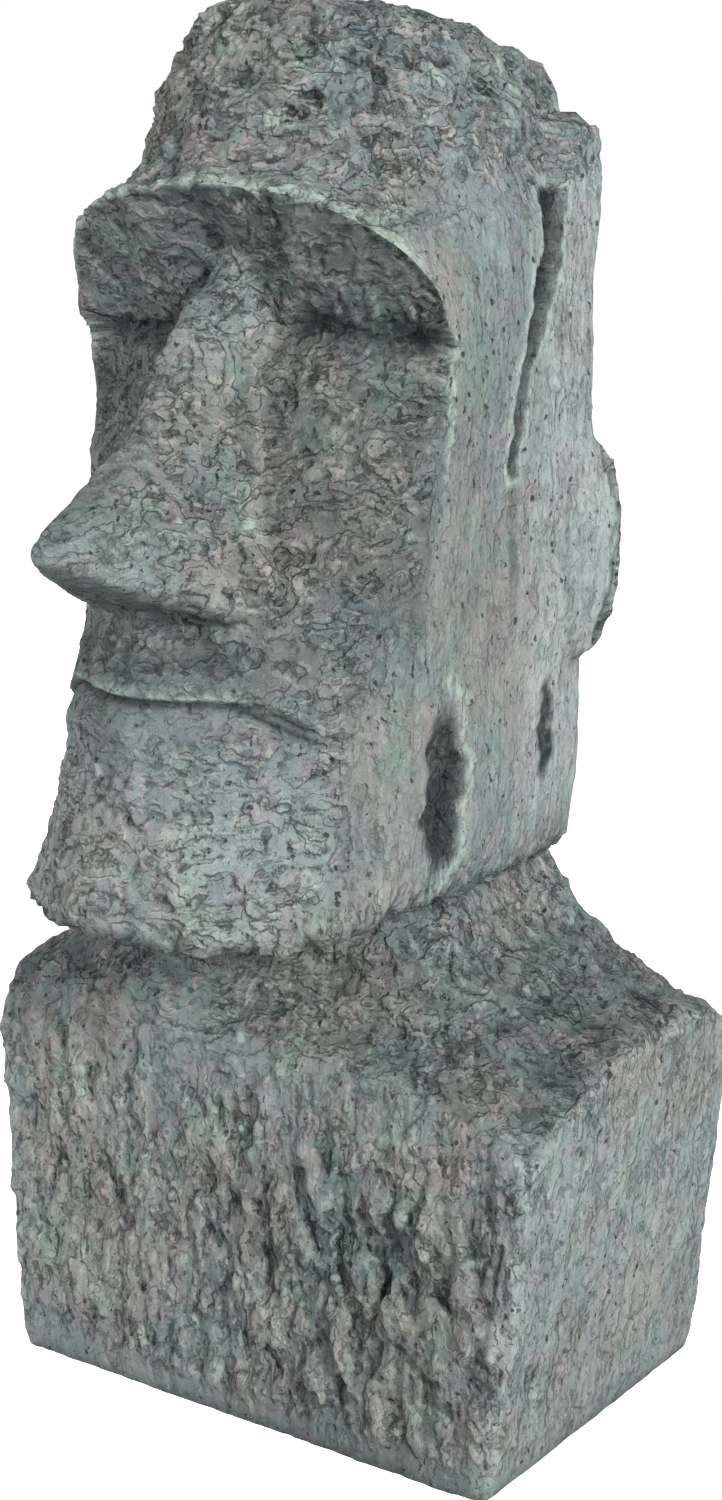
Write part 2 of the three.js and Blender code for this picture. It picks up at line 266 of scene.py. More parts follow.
@dataclass
class StatueForm:
    """The whole casting as one signed field, negative inside."""

    block: BlockSize = BlockSize()
    head: HeadSize = HeadSize()
    nose: NoseSize = NoseSize()
    ear: EarSize = EarSize()
    crack: CrackSize = CrackSize()
    neck: NeckSize = NeckSize()
    pit: Hollow = Hollow((97.0, 7.0, 316.0), (6.0, 5.0, 18.0), ((1.6, 3.3, 0.0), (0.9, 1.4, 1.0)))
    jaw: Hollow = Hollow((96.0, -74.0, 302.0), (12.0, 12.0, 30.0), ((2.2, 5.1, 0.6), (1.4, 2.2, 0.0)))
    # how far forward the face stands, across its width, at four heights
    lip: Bow = Bow(48.0, 74.0, 102.0, 2.3)
    eye: Bow = Bow(64.0, 18.0, 92.0, 1.6)
    mouth: Bow = Bow(71.0, 97.0, 97.0, 1.5)
    chin: Bow = Bow(74.0, 110.0, 97.0, 2.1)
    # half widths and depths by height, then the shoulders' height by depth
    crown_half: Curve = curve(485, 97.5, 530, 94.5, 547, 88, 560, 82, 575, 77, 590, 72, 604, 66, 622, 57)
    crown_reach: Curve = curve(548, 86, 560, 84.5, 571, 82, 582, 78, 593, 73.5, 604, 69, 622, 61)
    head_half: Curve = curve(240, 80, 255, 88, 275, 92, 310, 94, 400, 94, 440, 95, 485, 97.5)
    head_back: Curve = curve(240, 42, 262, 47, 300, 51, 400, 51, 620, 51)
    ridge: Curve = curve(
        376, 200, 388, 208, 398, 213, 407, 214, 416, 208, 430, 187, 442, 168, 454, 153, 470, 140,
        500, 121, 512, 105, 524, 92, 540, 84)
    wing_half: Curve = curve(372, 47, 382, 49, 392, 47, 405, 41, 420, 35, 450, 24, 480, 15, 520, 9)
    wing_deep: Curve = curve(372, 70, 400, 74, 420, 66, 450, 45, 480, 32, 520, 20)
    ear_line: Curve = curve(
        330, -22, 400, -22, 437, -24, 475, -18, 518, 1, 535, 4, 547, 10, 560, 18, 573, 22)
    ear_back: Curve = curve(330, 42, 400, 46, 440, 39, 500, 37, 545, 43, 577, 46)
    edge_left: Curve = curve(-90, 164, -64, 171, -40, 178, 0, 188, 40, 189, 66, 185, 90, 176)
    edge_right: Curve = curve(-90, 166, -80, 180, -64, 189, -40, 191, 0, 191, 40, 190, 66, 185, 90, 176)
    axis_y: Curve = curve(0, 0, 240, 0, 300, -30, 560, -32, 620, -38)

    def lip_height(self, ax: Array) -> Array:
        """Height of the brow's lip: an arch over the face, highest in the middle."""
        return self.head.lip(ax)

    def eye_height(self, ax: Array) -> Array:
        """Height of the eye line: a shallow parabola."""
        return self.head.eye_line - 0.0008 * ax * ax

    def mouth_height(self, ax: Array) -> Array:
        """Height of the mouth's parting: level, then drooping at its ends."""
        return self.head.mouth - self.head.mouth_droop * ease(40, 80, ax)

    def face_reach(self, x: Array, z: Array) -> Array:
        """How far the face stands forward at width x and height z.

        The lip, eye line, mouth and chin each have their own rounded plan
        curve, and the reach blends between them by height. The lips, the
        parting and the raised border are added as bells.

        Args:
            x: widths in millimetres.
            z: heights in millimetres.

        Returns:
            Distance forward of the middle plane.
        """
        ax = np.abs(x - 3.0 * ease(420, 340, z) - 2.5 * bell((z - 368) / 42))
        lip, eye, mouth, chin = self.lip(ax), self.eye(ax), self.mouth(ax), self.chin(ax)
        zl, ze, zm = self.lip_height(ax), self.eye_height(ax), self.mouth_height(ax)
        rim = 20 + self.crown_reach(z) * arc(ax / self.crown_half(z), 1.9)
        t = clamp((z - zl) / 60)
        crown = rim + (lip - rim) * np.exp(-7 * t) * (1 - t)
        under = (eye + (lip - eye) * clamp((z - ze) / np.maximum(zl - ze, 0.1)) ** 1.25
                 - 3 * bell(x / 9) * bell((z - 528) / 12))
        cheek = eye + (mouth - eye) * clamp((ze - z) / (ze - zm)) ** 0.95
        jaw = mouth + (chin - mouth) * clamp((zm - z) / (zm - 252)) ** 1.7
        f = np.where(z > zl, crown, np.where(z > ze, under, np.where(z > zm, cheek, jaw)))
        g = z - zm
        f = f - self.head.eye_groove * bell((z - ze - 3) / 6) * ease(20, 36, ax) * ease(97, 84, ax)
        f = f - self.head.mouth_groove * bell((g + 0.6) / 2.3) * ease(86, 66, ax)
        f = f + 2.6 * ease(-1.2, 1.4, g) * bell(g / 15) * ease(84, 62, ax)
        f = f + 2 * bell((g + 13) / 10) * ease(80, 50, ax)
        return f + ((5 + 5 * bell((z - 482) / 22)) * bell((ax - 94) / 7)
                    * ease(300, 360, z) * ease(512, 490, z))

    def nose_field(self, x: Array, y: Array, z: Array) -> Array:
        """A wedge: narrow ridge, wings opening backward, foot sloping to the tip."""
        n, ax, d, r = self.nose, np.abs(x), -y, self.ridge(z)
        opened = clamp(np.maximum(r - d, 0) / self.wing_deep(z), 0, 1.05) ** 0.9
        side = (ax - n.ridge_half - (self.wing_half(z) - n.ridge_half) * opened) * 0.8
        foot = n.foot + clamp(d - 130, 0, 90) * n.slope - z
        return smax(smax(smax(smax(side, d - r, 5), foot, 9), z - n.top, 5), y + 40, 5)

    def head_field(self, x: Array, y: Array, z: Array) -> Array:
        """The head: face, sides, back and crown, with the nose and the ears joined on."""
        h, e, ax = self.head, self.ear, np.abs(x)
        half = np.where(z > 485, self.crown_half(z), self.head_half(z))
        side = ax - half + 0.0022 * clamp(y, 0, 80) ** 2 * ease(600, 560, z)
        top = z - (h.crown - np.where(y > -40, 0.002, 0.0023) * (y + 40) ** 2 - 0.0022 * ax * ax)
        f = smax(smax(-y - self.face_reach(x, z), side, 6), y - self.head_back(z), 12)
        f = smax(smax(f, top, 11), h.jaw_under + 0.03 * (y + 150) - z, 10)
        f = smin(f, self.nose_field(x, y, z), 5)
        out = e.face + 0.05 * clamp(y + 20, 0, 60) + 0.11 * clamp(y - 16, 0, 60) * bell((z - e.lobe_z) / 45)
        out = out - 2.5 * ease(372, 350, z) - 5 * ease(535, 577, z)
        strip = smax(smax(ax - out, self.ear_line(z) - y, 4), y - self.ear_back(z), 6)
        strip = smax(strip, np.maximum(z - e.top, e.bottom - z), 10)
        strip = np.maximum(strip, 60 - ax)
        lobe = np.hypot((y - e.lobe_y) / e.lobe_deep, (z - e.lobe_z) / e.lobe_tall) * 30 - 30
        return smin(smin(f, strip, 5), smax(lobe, np.maximum(ax - out, 70 - ax), 5), 3)

    def carved(self, f: Array, x: Array, y: Array, z: Array) -> Array:
        """Cut the long crack, the two hollows and the lobe's groove out of the head."""
        slot = smax(self.crack_gap(y, z), self.crack.floor - 2 * bell((z - 507) / 26) - x, 1.5)
        cut = smax(smax(f, -slot, 1.5), 5 - 5 * self.pit.reach(x, y, z), 2)
        cut = smax(cut, 10 - 10 * self.jaw.reach(x, y, z), 4)
        f = np.where(x > 0, cut, f)
        return smax(f, -smax(self.lobe_groove(y, z), 92 - np.abs(x), 1), 1.5)

    def crack_gap(self, y: Array, z: Array) -> Array:
        """Distance outside the long crack: its line and half width waver with height."""
        c = self.crack
        wide = bell((z - 509) / 24)
        half = c.half + 3.0 * wide + waves(z, *c.swell) * (0.4 + 1.1 * wide)
        half = half * ease(c.bottom - 4, c.bottom + 34, z)
        line = self.ear_line(z) - 1.5 - waves(z, *c.ragged)
        return smax(np.abs(y - line) - half, np.maximum(z - c.top, c.bottom - z), 3)

    @staticmethod
    def lobe_groove(y: Array, z: Array) -> Array:
        """Distance outside the crescent groove in the lobe: part of an oval ring."""
        ring = np.abs(np.hypot((y - 36) / 20, (z - 394) / 42) - 1) * 20 - 2.4
        return smax(ring, 42 - y, 3)

    def shoulder(self, x: Array, y: Array) -> Array:
        """Height of the shoulders: low at the rim, rising as e^(-r/26) to the neck."""
        n = self.neck
        edge = mix(self.edge_right(y), self.edge_left(y), ease(-120, 60, x))
        r = np.hypot(np.maximum(np.abs(x) - n.half_wide, 0),
                     np.maximum(np.abs(y - n.centre) - n.half_deep, 0))
        return edge - 6 + 70 * np.exp(-r / 26) + 26 * clamp(1 - r / 95)

    def block_field(self, x: Array, y: Array, z: Array) -> Array:
        """The base block: four leaning walls under the shoulder surface."""
        b = self.block
        t = clamp(z / b.height, 0, 1.1)
        walls = smax(np.abs(x) - b.half_wide - b.flare_wide * t,
                     np.abs(y) - b.half_deep + b.flare_deep * t, b.rounding)
        return smax(smax(walls, (z - self.shoulder(x, y)) * 0.8, 6), -z, 3)

    def __call__(self, p: Array) -> Array:
        """Signed field of the whole statue at points p (..., 3)."""
        x, y, z = p[..., 0], p[..., 1], p[..., 2]
        return smin(self.carved(self.head_field(x, y, z), x, y, z), self.block_field(x, y, z), 5)

    def normals(self, p: Array, reach: float = 0.7) -> Array:
        """Outward unit normals: the field's slope by central differences."""
        n = np.empty_like(p)
        for k in range(3):
            s = np.zeros(3)
            s[k] = reach
            n[..., k] = self(p + s) - self(p - s)
        return n / (np.linalg.norm(n, axis=-1, keepdims=True) + 1e-9)


# ---- the skin --------------------------------------------------------------
@dataclass
class StatueSkin:
    """The grid of the skin: columns by plan angle, rows from crown to foot.

    Every grid point is where a ray from an inside point leaves the form.
    """

    form: StatueForm
    columns: int = 310
    rows: int = 317
    march: int = 260              # most steps of the march along a ray
    halvings: int = 14            # halvings of its last step
    face_edge: float = 64.0       # plan angles in degrees: edge of the face,
    ear_front: float = 101.0      # front and rear outline of the ear,
    ear_rear: float = 127.0
    corner: float = 61.5          # front and rear corners of the block
    rear_corner: float = 120.0
    spacing: Curve = curve(
        -180, 2.1, -150, 2.0, -133, 1.0, -120, 1.0, -108, 1.2, -70, 1.15, -62, 0.75, -54, 1.0,
        -25, 0.85, 0, 0.66, 25, 0.82, 54, 1.0, 62, 0.7, 70, 1.05, 92, 1.0, 98, 0.55, 104, 0.55,
        110, 0.95, 122, 0.85, 131, 0.8, 150, 1.9, 180, 2.1)

    def angles(self) -> Array:
        """Column angles in degrees, 0 looking along -Y and + toward +X.

        They divide the sum of one over the spacing curve into equal shares.
        """
        fine = np.linspace(-180, 180, 3601)
        total = np.concatenate([[0], np.cumsum(0.1 / self.spacing(0.5 * (fine[1:] + fine[:-1])))])
        return np.interp(total[-1] * np.arange(self.columns) / self.columns, total, fine)

    def follow(self, a: Array, z: Array) -> Array:
        """Turn columns so that they run along the form's own lines.

        On the block they share each wall out evenly, by the tangent of the
        angle. On the head they spread over the flat eye band, and they
        follow the ear's front and rear outline.

        Args:
            a: column angles in degrees.
            z: height of each point.

        Returns:
            The turned angles.
        """
        form, e, b = self.form, self.form.ear, self.form.block
        z = np.broadcast_to(z, a.shape)
        m, axis = np.abs(a), form.axis_y(z)

        def seen(x: Array, y: Array) -> Array:
            """Plan angle of a point as seen from the axis."""
            return np.degrees(np.arctan2(x, axis - y))

        def tent(low: float, middle: float, high: float) -> Array:
            """1 at the middle angle, falling evenly to 0 at low and high."""
            return clamp((m - low) / (middle - low)) * clamp((high - m) / (high - middle))

        lobe = 1 - ((z - e.lobe_z) / e.lobe_tall) ** 2
        bulge = np.where(lobe > 0, e.lobe_y + e.lobe_deep * np.sqrt(np.maximum(lobe, 0)), 0)
        rear = np.maximum(form.ear_back(z), bulge)
        front_turn = seen(95.0, form.ear_line(z) - 1.5) - self.ear_front
        rear_turn = seen(100.0, rear) - self.ear_rear
        turn = (front_turn * tent(68, self.ear_front, self.ear_rear)
                + rear_turn * tent(self.ear_front, self.ear_rear, 152))
        spread = np.degrees(np.arctan(m / self.face_edge * math.tan(math.radians(self.face_edge))))
        flat = 0.65 * bell((z - 505) / 50)
        on_face = np.where(m < self.face_edge, (spread - m) * flat, 0)
        head = m + on_face + turn * ease(300, 340, z) * ease(612, 580, z)
        t = clamp(z / b.height, 0, 1.1)
        wide, deep = b.half_wide + b.flare_wide * t, b.half_deep - b.flare_deep * t
        first, last = self.corner, self.rear_corner
        front = np.degrees(np.arctan2(wide * m / first, deep))
        side = np.degrees(np.arctan2(wide, deep * (1 - 2 * (m - first) / (last - first))))
        back = 180 - np.degrees(np.arctan2(wide * (180 - m) / (180 - last), deep))
        block = np.where(m < first, front, np.where(m < last, side, back))
        return np.sign(a) * mix(head, block, ease(235, 190, z))

    def leave(self, o: Array, t: Array) -> Array:
        """First way out of the form along rays from o toward t.

        The march takes steps of about half the field's depth, then the last
        step is halved again and again.

        Args:
            o: inside points (..., 3).
            t: points aimed at (..., 3).

        Returns:
            Points on the skin (..., 3).
        """
        shape = np.broadcast_shapes(o.shape, t.shape)
        o, t = np.broadcast_to(o, shape).reshape(-1, 3), np.broadcast_to(t, shape).reshape(-1, 3)
        d = t - o
        d = d / (np.linalg.norm(d, axis=1, keepdims=True) + 1e-9)
        low, high = np.zeros(len(o)), np.full(len(o), 2.0)
        live = np.arange(len(o))
        for _ in range(self.march):
            f = self.form(o[live] + d[live] * high[live, None])
            live, f = live[f < 0], f[f < 0]
            if len(live) == 0:
                break
            low[live] = high[live]
            high[live] += clamp(-0.5 * f, 1.2, 16.0)
        for _ in range(self.halvings):
            mid = 0.5 * (low + high)
            inside = self.form(o + d * mid[:, None]) < 0
            low, high = np.where(inside, mid, low), np.where(inside, high, mid)
        return (o + d * high[:, None]).reshape(shape)

    def level(self, a: Array, z: Array) -> tuple[Array, Array]:
        """Inside point and skin point of level rays at plan angles a and heights z."""
        z = np.broadcast_to(z, a.shape).astype(float)
        y0, r = self.form.axis_y(z), np.radians(a)
        o = np.stack([np.zeros_like(z), y0, z], -1)
        return o, self.leave(o, np.stack([300 * np.sin(r), y0 - 300 * np.cos(r), z], -1))

    def head_heights(self, a: Array) -> list[Array]:
        """Heights of the head's control rows, crown to jaw.

        Across the face they follow the brow, eye line and mouth, found by
        halving, and they even out to plain heights round the back.
        """
        form, free = self.form, ease(64, 84, np.abs(a))

        def settle(height: Callable[[Array], Array], plain: float, low: float, high: float) -> Array:
            """Height z at which the face's own line, at that column, is z."""
            lo, hi = np.full(len(a), float(low)), np.full(len(a), float(high))
            for _ in range(9):
                z = 0.5 * (lo + hi)
                under = z < height(np.abs(self.level(self.follow(a, z), z)[1][:, 0]))
                lo, hi = np.where(under, z, lo), np.where(under, hi, z)
            return mix(hi, plain, free)

        top = settle(lambda w: 610 - 0.0035 * w * w, 583, 570, 612)
        lip = settle(form.lip_height, 530, 486, 551)
        eye = settle(lambda w: np.minimum(form.eye_height(w), form.lip_height(w) - 4), 478, 476, 493)
        mouth = settle(form.mouth_height, 348, 325, 350)

        def fall(start: Array, stop: Array, *shares: float) -> list[Array]:
            """Rows at set shares of the way down."""
            return [mix(start, stop, t) for t in shares]

        def near(z: Array, up: float, far: float = 1.0) -> Array:
            """A row a little above a line, further above it round the back."""
            return z + up * mix(1.0, far, free)

        return (fall(top, lip, 0, 0.24, 0.46, 0.66, 0.82) + [near(lip, 4, 1.6), near(lip, 0.4)]
                + fall(lip, eye, 0.07, 0.3, 0.58, 0.84) + [near(eye, 0)]
                + fall(eye, mouth, 0.1, 0.21, 0.33, 0.43, 0.505, 0.555, 0.6, 0.65, 0.71, 0.78, 0.86)
                + [near(mouth, 9), near(mouth, 4), near(mouth, 0), near(mouth, -4)]
                + fall(mouth, 264, 0.16, 0.36, 0.57, 0.79, 1))

    def control_rows(self, a: Array) -> tuple[Array, Array, Array]:
        """Control rays of every row, crown to foot.

        Args:
            a: column angles in degrees.

        Returns:
            Inside points (rows, columns, 3), skin points of the same shape,
            and the pace in millimetres wanted after each row.
        """
        form, zero = self.form, np.zeros(len(a))
        inside, skin, pace = [], [], []

        def put(o: Array, p: Array, step: float) -> None:
            """Keep one control row."""
            inside.append(np.broadcast_to(o, p.shape))
            skin.append(p)
            pace.append(step)

        zs = self.head_heights(a)
        rim = self.level(a, zs[0])[1]
        hub = np.array([0.0, POLE_Y, 560.0])
        put(hub, self.leave(hub, np.broadcast_to([0.0, POLE_Y, 640.0], (len(a), 3))), 3.0)
        for r, up in ((0.36, 1), (0.66, 1), (0.86, 0.9), (0.97, 0.6), (1, 0.28)):
            aim = np.stack([rim[:, 0] * r, mix(hub[1], rim[:, 1], r), mix(zs[0], form.head.crown, up)], -1)
            put(hub, self.leave(hub, aim), 3.0)
        for k, z in enumerate(zs):
            put(*self.level(self.follow(a, z), z), 2.2 if k < 28 else 2.5)
        edge, neck = skin[-1], self.level(a, zero + 244)[1]
        over = clamp((np.hypot(edge[:, 0], edge[:, 1]) - np.hypot(neck[:, 0], neck[:, 1]) - 6) / 12)
        start = np.stack([edge[:, 0], edge[:, 1], 258 - 4 * (1 - over)], -1)
        stop = np.stack([neck[:, 0] * 1.05, neck[:, 1] * 1.05, zero + 248], -1)
        o = np.array([0.0, -12.0, 330.0])
        for t in (0, 0.1, 0.36, 0.68, 1):
            aim = mix(start, stop, t)
            aim[:, 2] = mix(mix(start[:, 2], 249, over * clamp(t * 9)), stop[:, 2], t)
            put(o, self.leave(o, aim), 4.0)
        root, wall = self.level(a, zero + 238)[1], self.level(self.follow(a, zero + 140), zero + 140)[1]
        brim = form.shoulder(wall[:, 0] * 0.97, wall[:, 1] * 0.97)
        for t in (0, 0.13, 0.3, 0.5, 0.7, 0.87, 0.97):
            o = np.array([0.0, 0.0, mix(236, 100, math.sqrt(t))])
            put(o, self.leave(o, np.stack([mix(root[:, 0], wall[:, 0], t), mix(root[:, 1], wall[:, 1], t),
                                           mix(238, brim, t)], -1)), 2.9)
        for z, drop in ((112.0, 5), (128.0, 14)):
            o = np.array([0.0, 0.0, z])
            put(o, self.leave(o, np.stack([wall[:, 0], wall[:, 1], brim - drop], -1)), 2.4)
        for z in (118.0, 55.0, 8.0):
            put(*self.level(self.follow(a, zero + z), zero + z), 2.4)
        return np.stack(inside), np.stack(skin), np.array(pace)

    def points(self) -> Array:
        """All skin points (rows, columns, 3), the first row on the crown's pole.

        Between two control rows the rays turn evenly from one to the next,
        and each gap gets rows in proportion to its length over its pace.
        """
        a = self.angles()
        o, p, pace = self.control_rows(a)
        front = np.abs(a) < 100
        want = np.linalg.norm(np.diff(p, axis=0), axis=2)[:, front].mean(1) / pace[:-1]
        scale = self.rows / want.sum()
        for _ in range(30):
            count = np.maximum(1, np.round(want * scale)).astype(int)
            scale *= (self.rows / count.sum()) ** 0.7
        j = np.repeat(np.arange(len(count)), count)
        t = np.concatenate([np.arange(c) / c for c in count])
        j, t = np.append(j, len(count) - 1), np.append(t, 1.0)[:, None, None]
        return self.leave(mix(o[j], o[j + 1], t), mix(p[j], p[j + 1], t))


# ---- tool marks ------------------------------------------------------------
class Lattice:
    """Seeded noise on a lattice of unit cells, worked out for whole arrays."""

    SLOPE = 1.6                   # steepness of a flake's face
    GAIN = 1.6                    # brings the flakes' height to about -1 to 1

    @staticmethod
    def shake(cell: Array, seed: int) -> Array:
        """Mix three whole numbers and a seed into 48 random bits.

        Each is multiplied by its own large odd number, the products are
        joined by exclusive or, and the sum is folded on itself three times.
        """
        c = cell.astype(np.int64).view(np.uint64)
        h = c[..., 0] * np.uint64(0x9E3779B97F4A7C15) ^ c[..., 1] * np.uint64(0xC2B2AE3D27D4EB4F)
        h = h ^ c[..., 2] * np.uint64(0x165667B19E3779F9) ^ np.uint64(seed * 2654435761 + 97)
        for _ in range(3):
            h = (h ^ (h >> np.uint64(29))) * np.uint64(0xBF58476D1CE4E5B9)
        return h >> np.uint64(16)

    @staticmethod
    def part(bits: Array, k: int) -> Array:
        """The k-th number from 0 to 1 held in the random bits, 12 bits each."""
        return ((bits >> np.uint64(12 * k)) & np.uint64(4095)).astype(float) / 4095.0

    @classmethod
    def smooth(cls, p: Array, size: Array, seed: int) -> Array:
        """Smooth noise from -1 to 1: corner values blended by 6t^5-15t^4+10t^3."""
        q = p / size
        base = np.floor(q)
        t = q - base
        t = t * t * t * (t * (t * 6 - 15) + 10)
        total = np.zeros(p.shape[:-1])
        for i in (0, 1):
            for j in (0, 1):
                for k in (0, 1):
                    step = np.array([i, j, k])
                    w = np.prod(np.where(step == 1, t, 1 - t), axis=-1)
                    total += w * cls.part(cls.shake(base + step, seed), 0)
        return total * 2 - 1

    @classmethod
    def rough(cls, p: Array, size: Array, seed: int, octaves: int = 3) -> Array:
        """Sum of smooth noises, each half the size and half the height of the last."""
        total = sum(cls.smooth(p, size / 2 ** k, seed + k) / 2 ** k for k in range(octaves))
        return total / (2 - 2 ** (1 - octaves))

    @classmethod
    def flakes(cls, p: Array, size: Array, seed: int) -> Array:
        """Broken scales: each point takes the tilted face of its nearest seed.

        A cell's face is its own random height plus a random slope times the
        way from its seed, so neighbours meet in small steps.

        Args:
            p: points (..., 3) in millimetres.
            size: size of a cell along X, Y and Z.
            seed: number of the pattern.

        Returns:
            Height from about -1 to 1.
        """
        q = p / size
        base = np.floor(q)
        near, height = np.full(p.shape[:-1], 9.0), np.zeros(p.shape[:-1])
        for k in range(27):
            cell = base + np.array([k // 9 - 1, k // 3 % 3 - 1, k % 3 - 1])
            bits = cls.shake(cell, seed)
            r = [cls.part(bits, n) for n in range(4)]
            off = q - cell - np.stack(r[:3], -1)
            d = (off * off).sum(-1)
            tilt = sum(off[..., i] * (r[(i + 1) % 3] - 0.5) for i in range(3))
            face = (r[3] - 0.5) + cls.SLOPE * tilt
            height, near = np.where(d < near, face, height), np.minimum(d, near)
        return height * cls.GAIN


@dataclass(frozen=True)
class ToolMarks:
    """The carved and flaked surface laid over the plain form."""

    swell: float = 1.3            # slow waves of the whole surface
    dent: float = 0.8             # dents about a thumb wide
    scale_small: float = 0.75     # height of the fine scales
    scale_large: float = 1.3      # height of the coarse scales
    grain: float = 0.35           # height of the rubbed grain
    layer: float = 1.3            # thickness of one torn layer
    drip: float = 1.35            # height of the plaster's drips and gouges
    key_light_way: Triple = (1.1, -0.5, 1.1)      # short way toward the key light, for painted highlight and shadow on slopes

    def regions(self, p: Array, n: Array) -> dict[str, Array]:
        """Masks from 0 to 1 by place: block walls, smooth strips and so on."""
        x, y, z = p[..., 0], p[..., 1], p[..., 2]
        ax, front = np.abs(x), facing(n) * ease(246, 254, z)
        flank = ease(0.55, 0.85, np.abs(n[..., 0])) * np.maximum(ease(72, 84, ax), ease(245, 235, z))
        wall = ease(186, 160, z) * ease(0.75, 0.4, n[..., 2])
        return {
            "wall": wall,
            "flank": flank,
            "upright": np.maximum(wall, flank),
            "foot": ease(17, 9, z),
            "worn": ease(250, 275, z) * flank * ease(575, 530, z),
            "broken": ease(165, 95, z) * bell((x - 70) / 85) * ease(-0.3, -0.8, n[..., 1]),
            "crown": ease(548, 565, z),
            "back": ease(0.3, 0.8, n[..., 1]),
            "lips": front * bell((z - 342) / 16) * ease(92, 80, ax),
            "tip": ease(-160, -185, y) * ease(362, 374, z),
            "face": front * ease(550, 530, z) * ease(97, 92, ax),
        }

    def height(self, p: Array, at: dict[str, Array]) -> tuple[Array, Array]:
        """Height of the marks along the normal, in millimetres.

        Slow waves and dents, plus fine and coarse scales, torn layers and
        drips (drawn out upward on the walls and flanks, leaning on the
        face), plus rubbed grain. Each is scaled by its region.

        Args:
            p: points of the plain form.
            at: the regions there.

        Returns:
            The height, and the smooth count of torn layers, whose whole part
            is the layer on top.
        """
        warp = np.stack([Lattice.rough(p, 10.0, s, 2) for s in (5, 6, 7)], -1)
        q = p + 4.0 * warp
        lean = np.stack([q[..., 0] + 0.45 * q[..., 2], q[..., 1], q[..., 2] - 0.35 * q[..., 0]], -1)

        def drawn(make: Callable[..., Array], up: Triple, free: Triple, *seeds: int, **how: int) -> Array:
            """The upright pattern where it runs, the leaning one elsewhere, by their cell sizes."""
            upright = make(q, np.array(up), seeds[0], **how)
            return mix(make(lean, np.array(free), seeds[1], **how), upright, at["upright"])

        small = drawn(Lattice.flakes, (6.5, 6.5, 14.0), (7.0, 7.0, 9.0), 11, 13)
        large = drawn(Lattice.flakes, (14.0, 14.0, 24.0), (17.0, 14.0, 14.0), 12, 14)
        torn = 2.4 * drawn(Lattice.rough, (11.25, 11.25, 28.5), (21.0, 15.0, 12.0), 51, 52) + 0.4
        drip = drawn(Lattice.rough, (6.4, 6.4, 17.6), (13.6, 9.6, 6.4), 61, 62, octaves=2)
        drip = ease(0.08, 0.28, drip) - 0.8 * ease(-0.1, -0.3, drip)
        calm = 1 - 0.72 * at["worn"] - 0.45 * at["flank"] * at["wall"]
        for name, share in (("lips", 0.6), ("tip", 0.6), ("back", 0.2), ("foot", 0.75)):
            calm = calm * (1 - share * at[name])
        bold = (0.55 + 0.6 * at["broken"] + 0.35 * at["crown"] + 0.15 * at["wall"]) * calm
        h = self.swell * Lattice.rough(p, 46.0, 31, 2) + self.dent * Lattice.smooth(q, 15.0, 33) * calm
        h = h * (1 - 0.6 * at["foot"])
        h = h + self.scale_small * small * calm
        h = h + (self.scale_large * large + self.layer * ledge(torn)) * bold
        h = h + self.drip * drip * (0.3 + 0.7 * bold) * calm * (1 - 0.45 * at["face"])
        return h + self.grain * Lattice.rough(p, 6.0, 41, 2) * calm, torn

    def relief(self, p: Array, at: dict[str, Array]) -> tuple[Array, Array, Array]:
        """The marks' height, their torn layers and the way their slopes face.

        A slope faces the key light where the height drops over a short way
        toward +X, -Y and +Z, where the key light hangs; the shader paints a
        highlight on such slopes and a shadow on those that face away. Round
        the crown's pole, where the columns crowd, this fades out.

        Args:
            p: points of the plain form.
            at: the regions there.

        Returns:
            Height in millimetres, count of torn layers, and the drop in
            millimetres toward the key light, which sets the painted highlight
            and shadow.
        """
        h, torn = self.height(p, at)
        off_pole = ease(2, 22, np.hypot(p[..., 0], p[..., 1] - POLE_Y) + ease(610, 590, p[..., 2]) * 22)
        return h, torn, (h - self.height(p + np.array(self.key_light_way), at)[0]) * off_pole


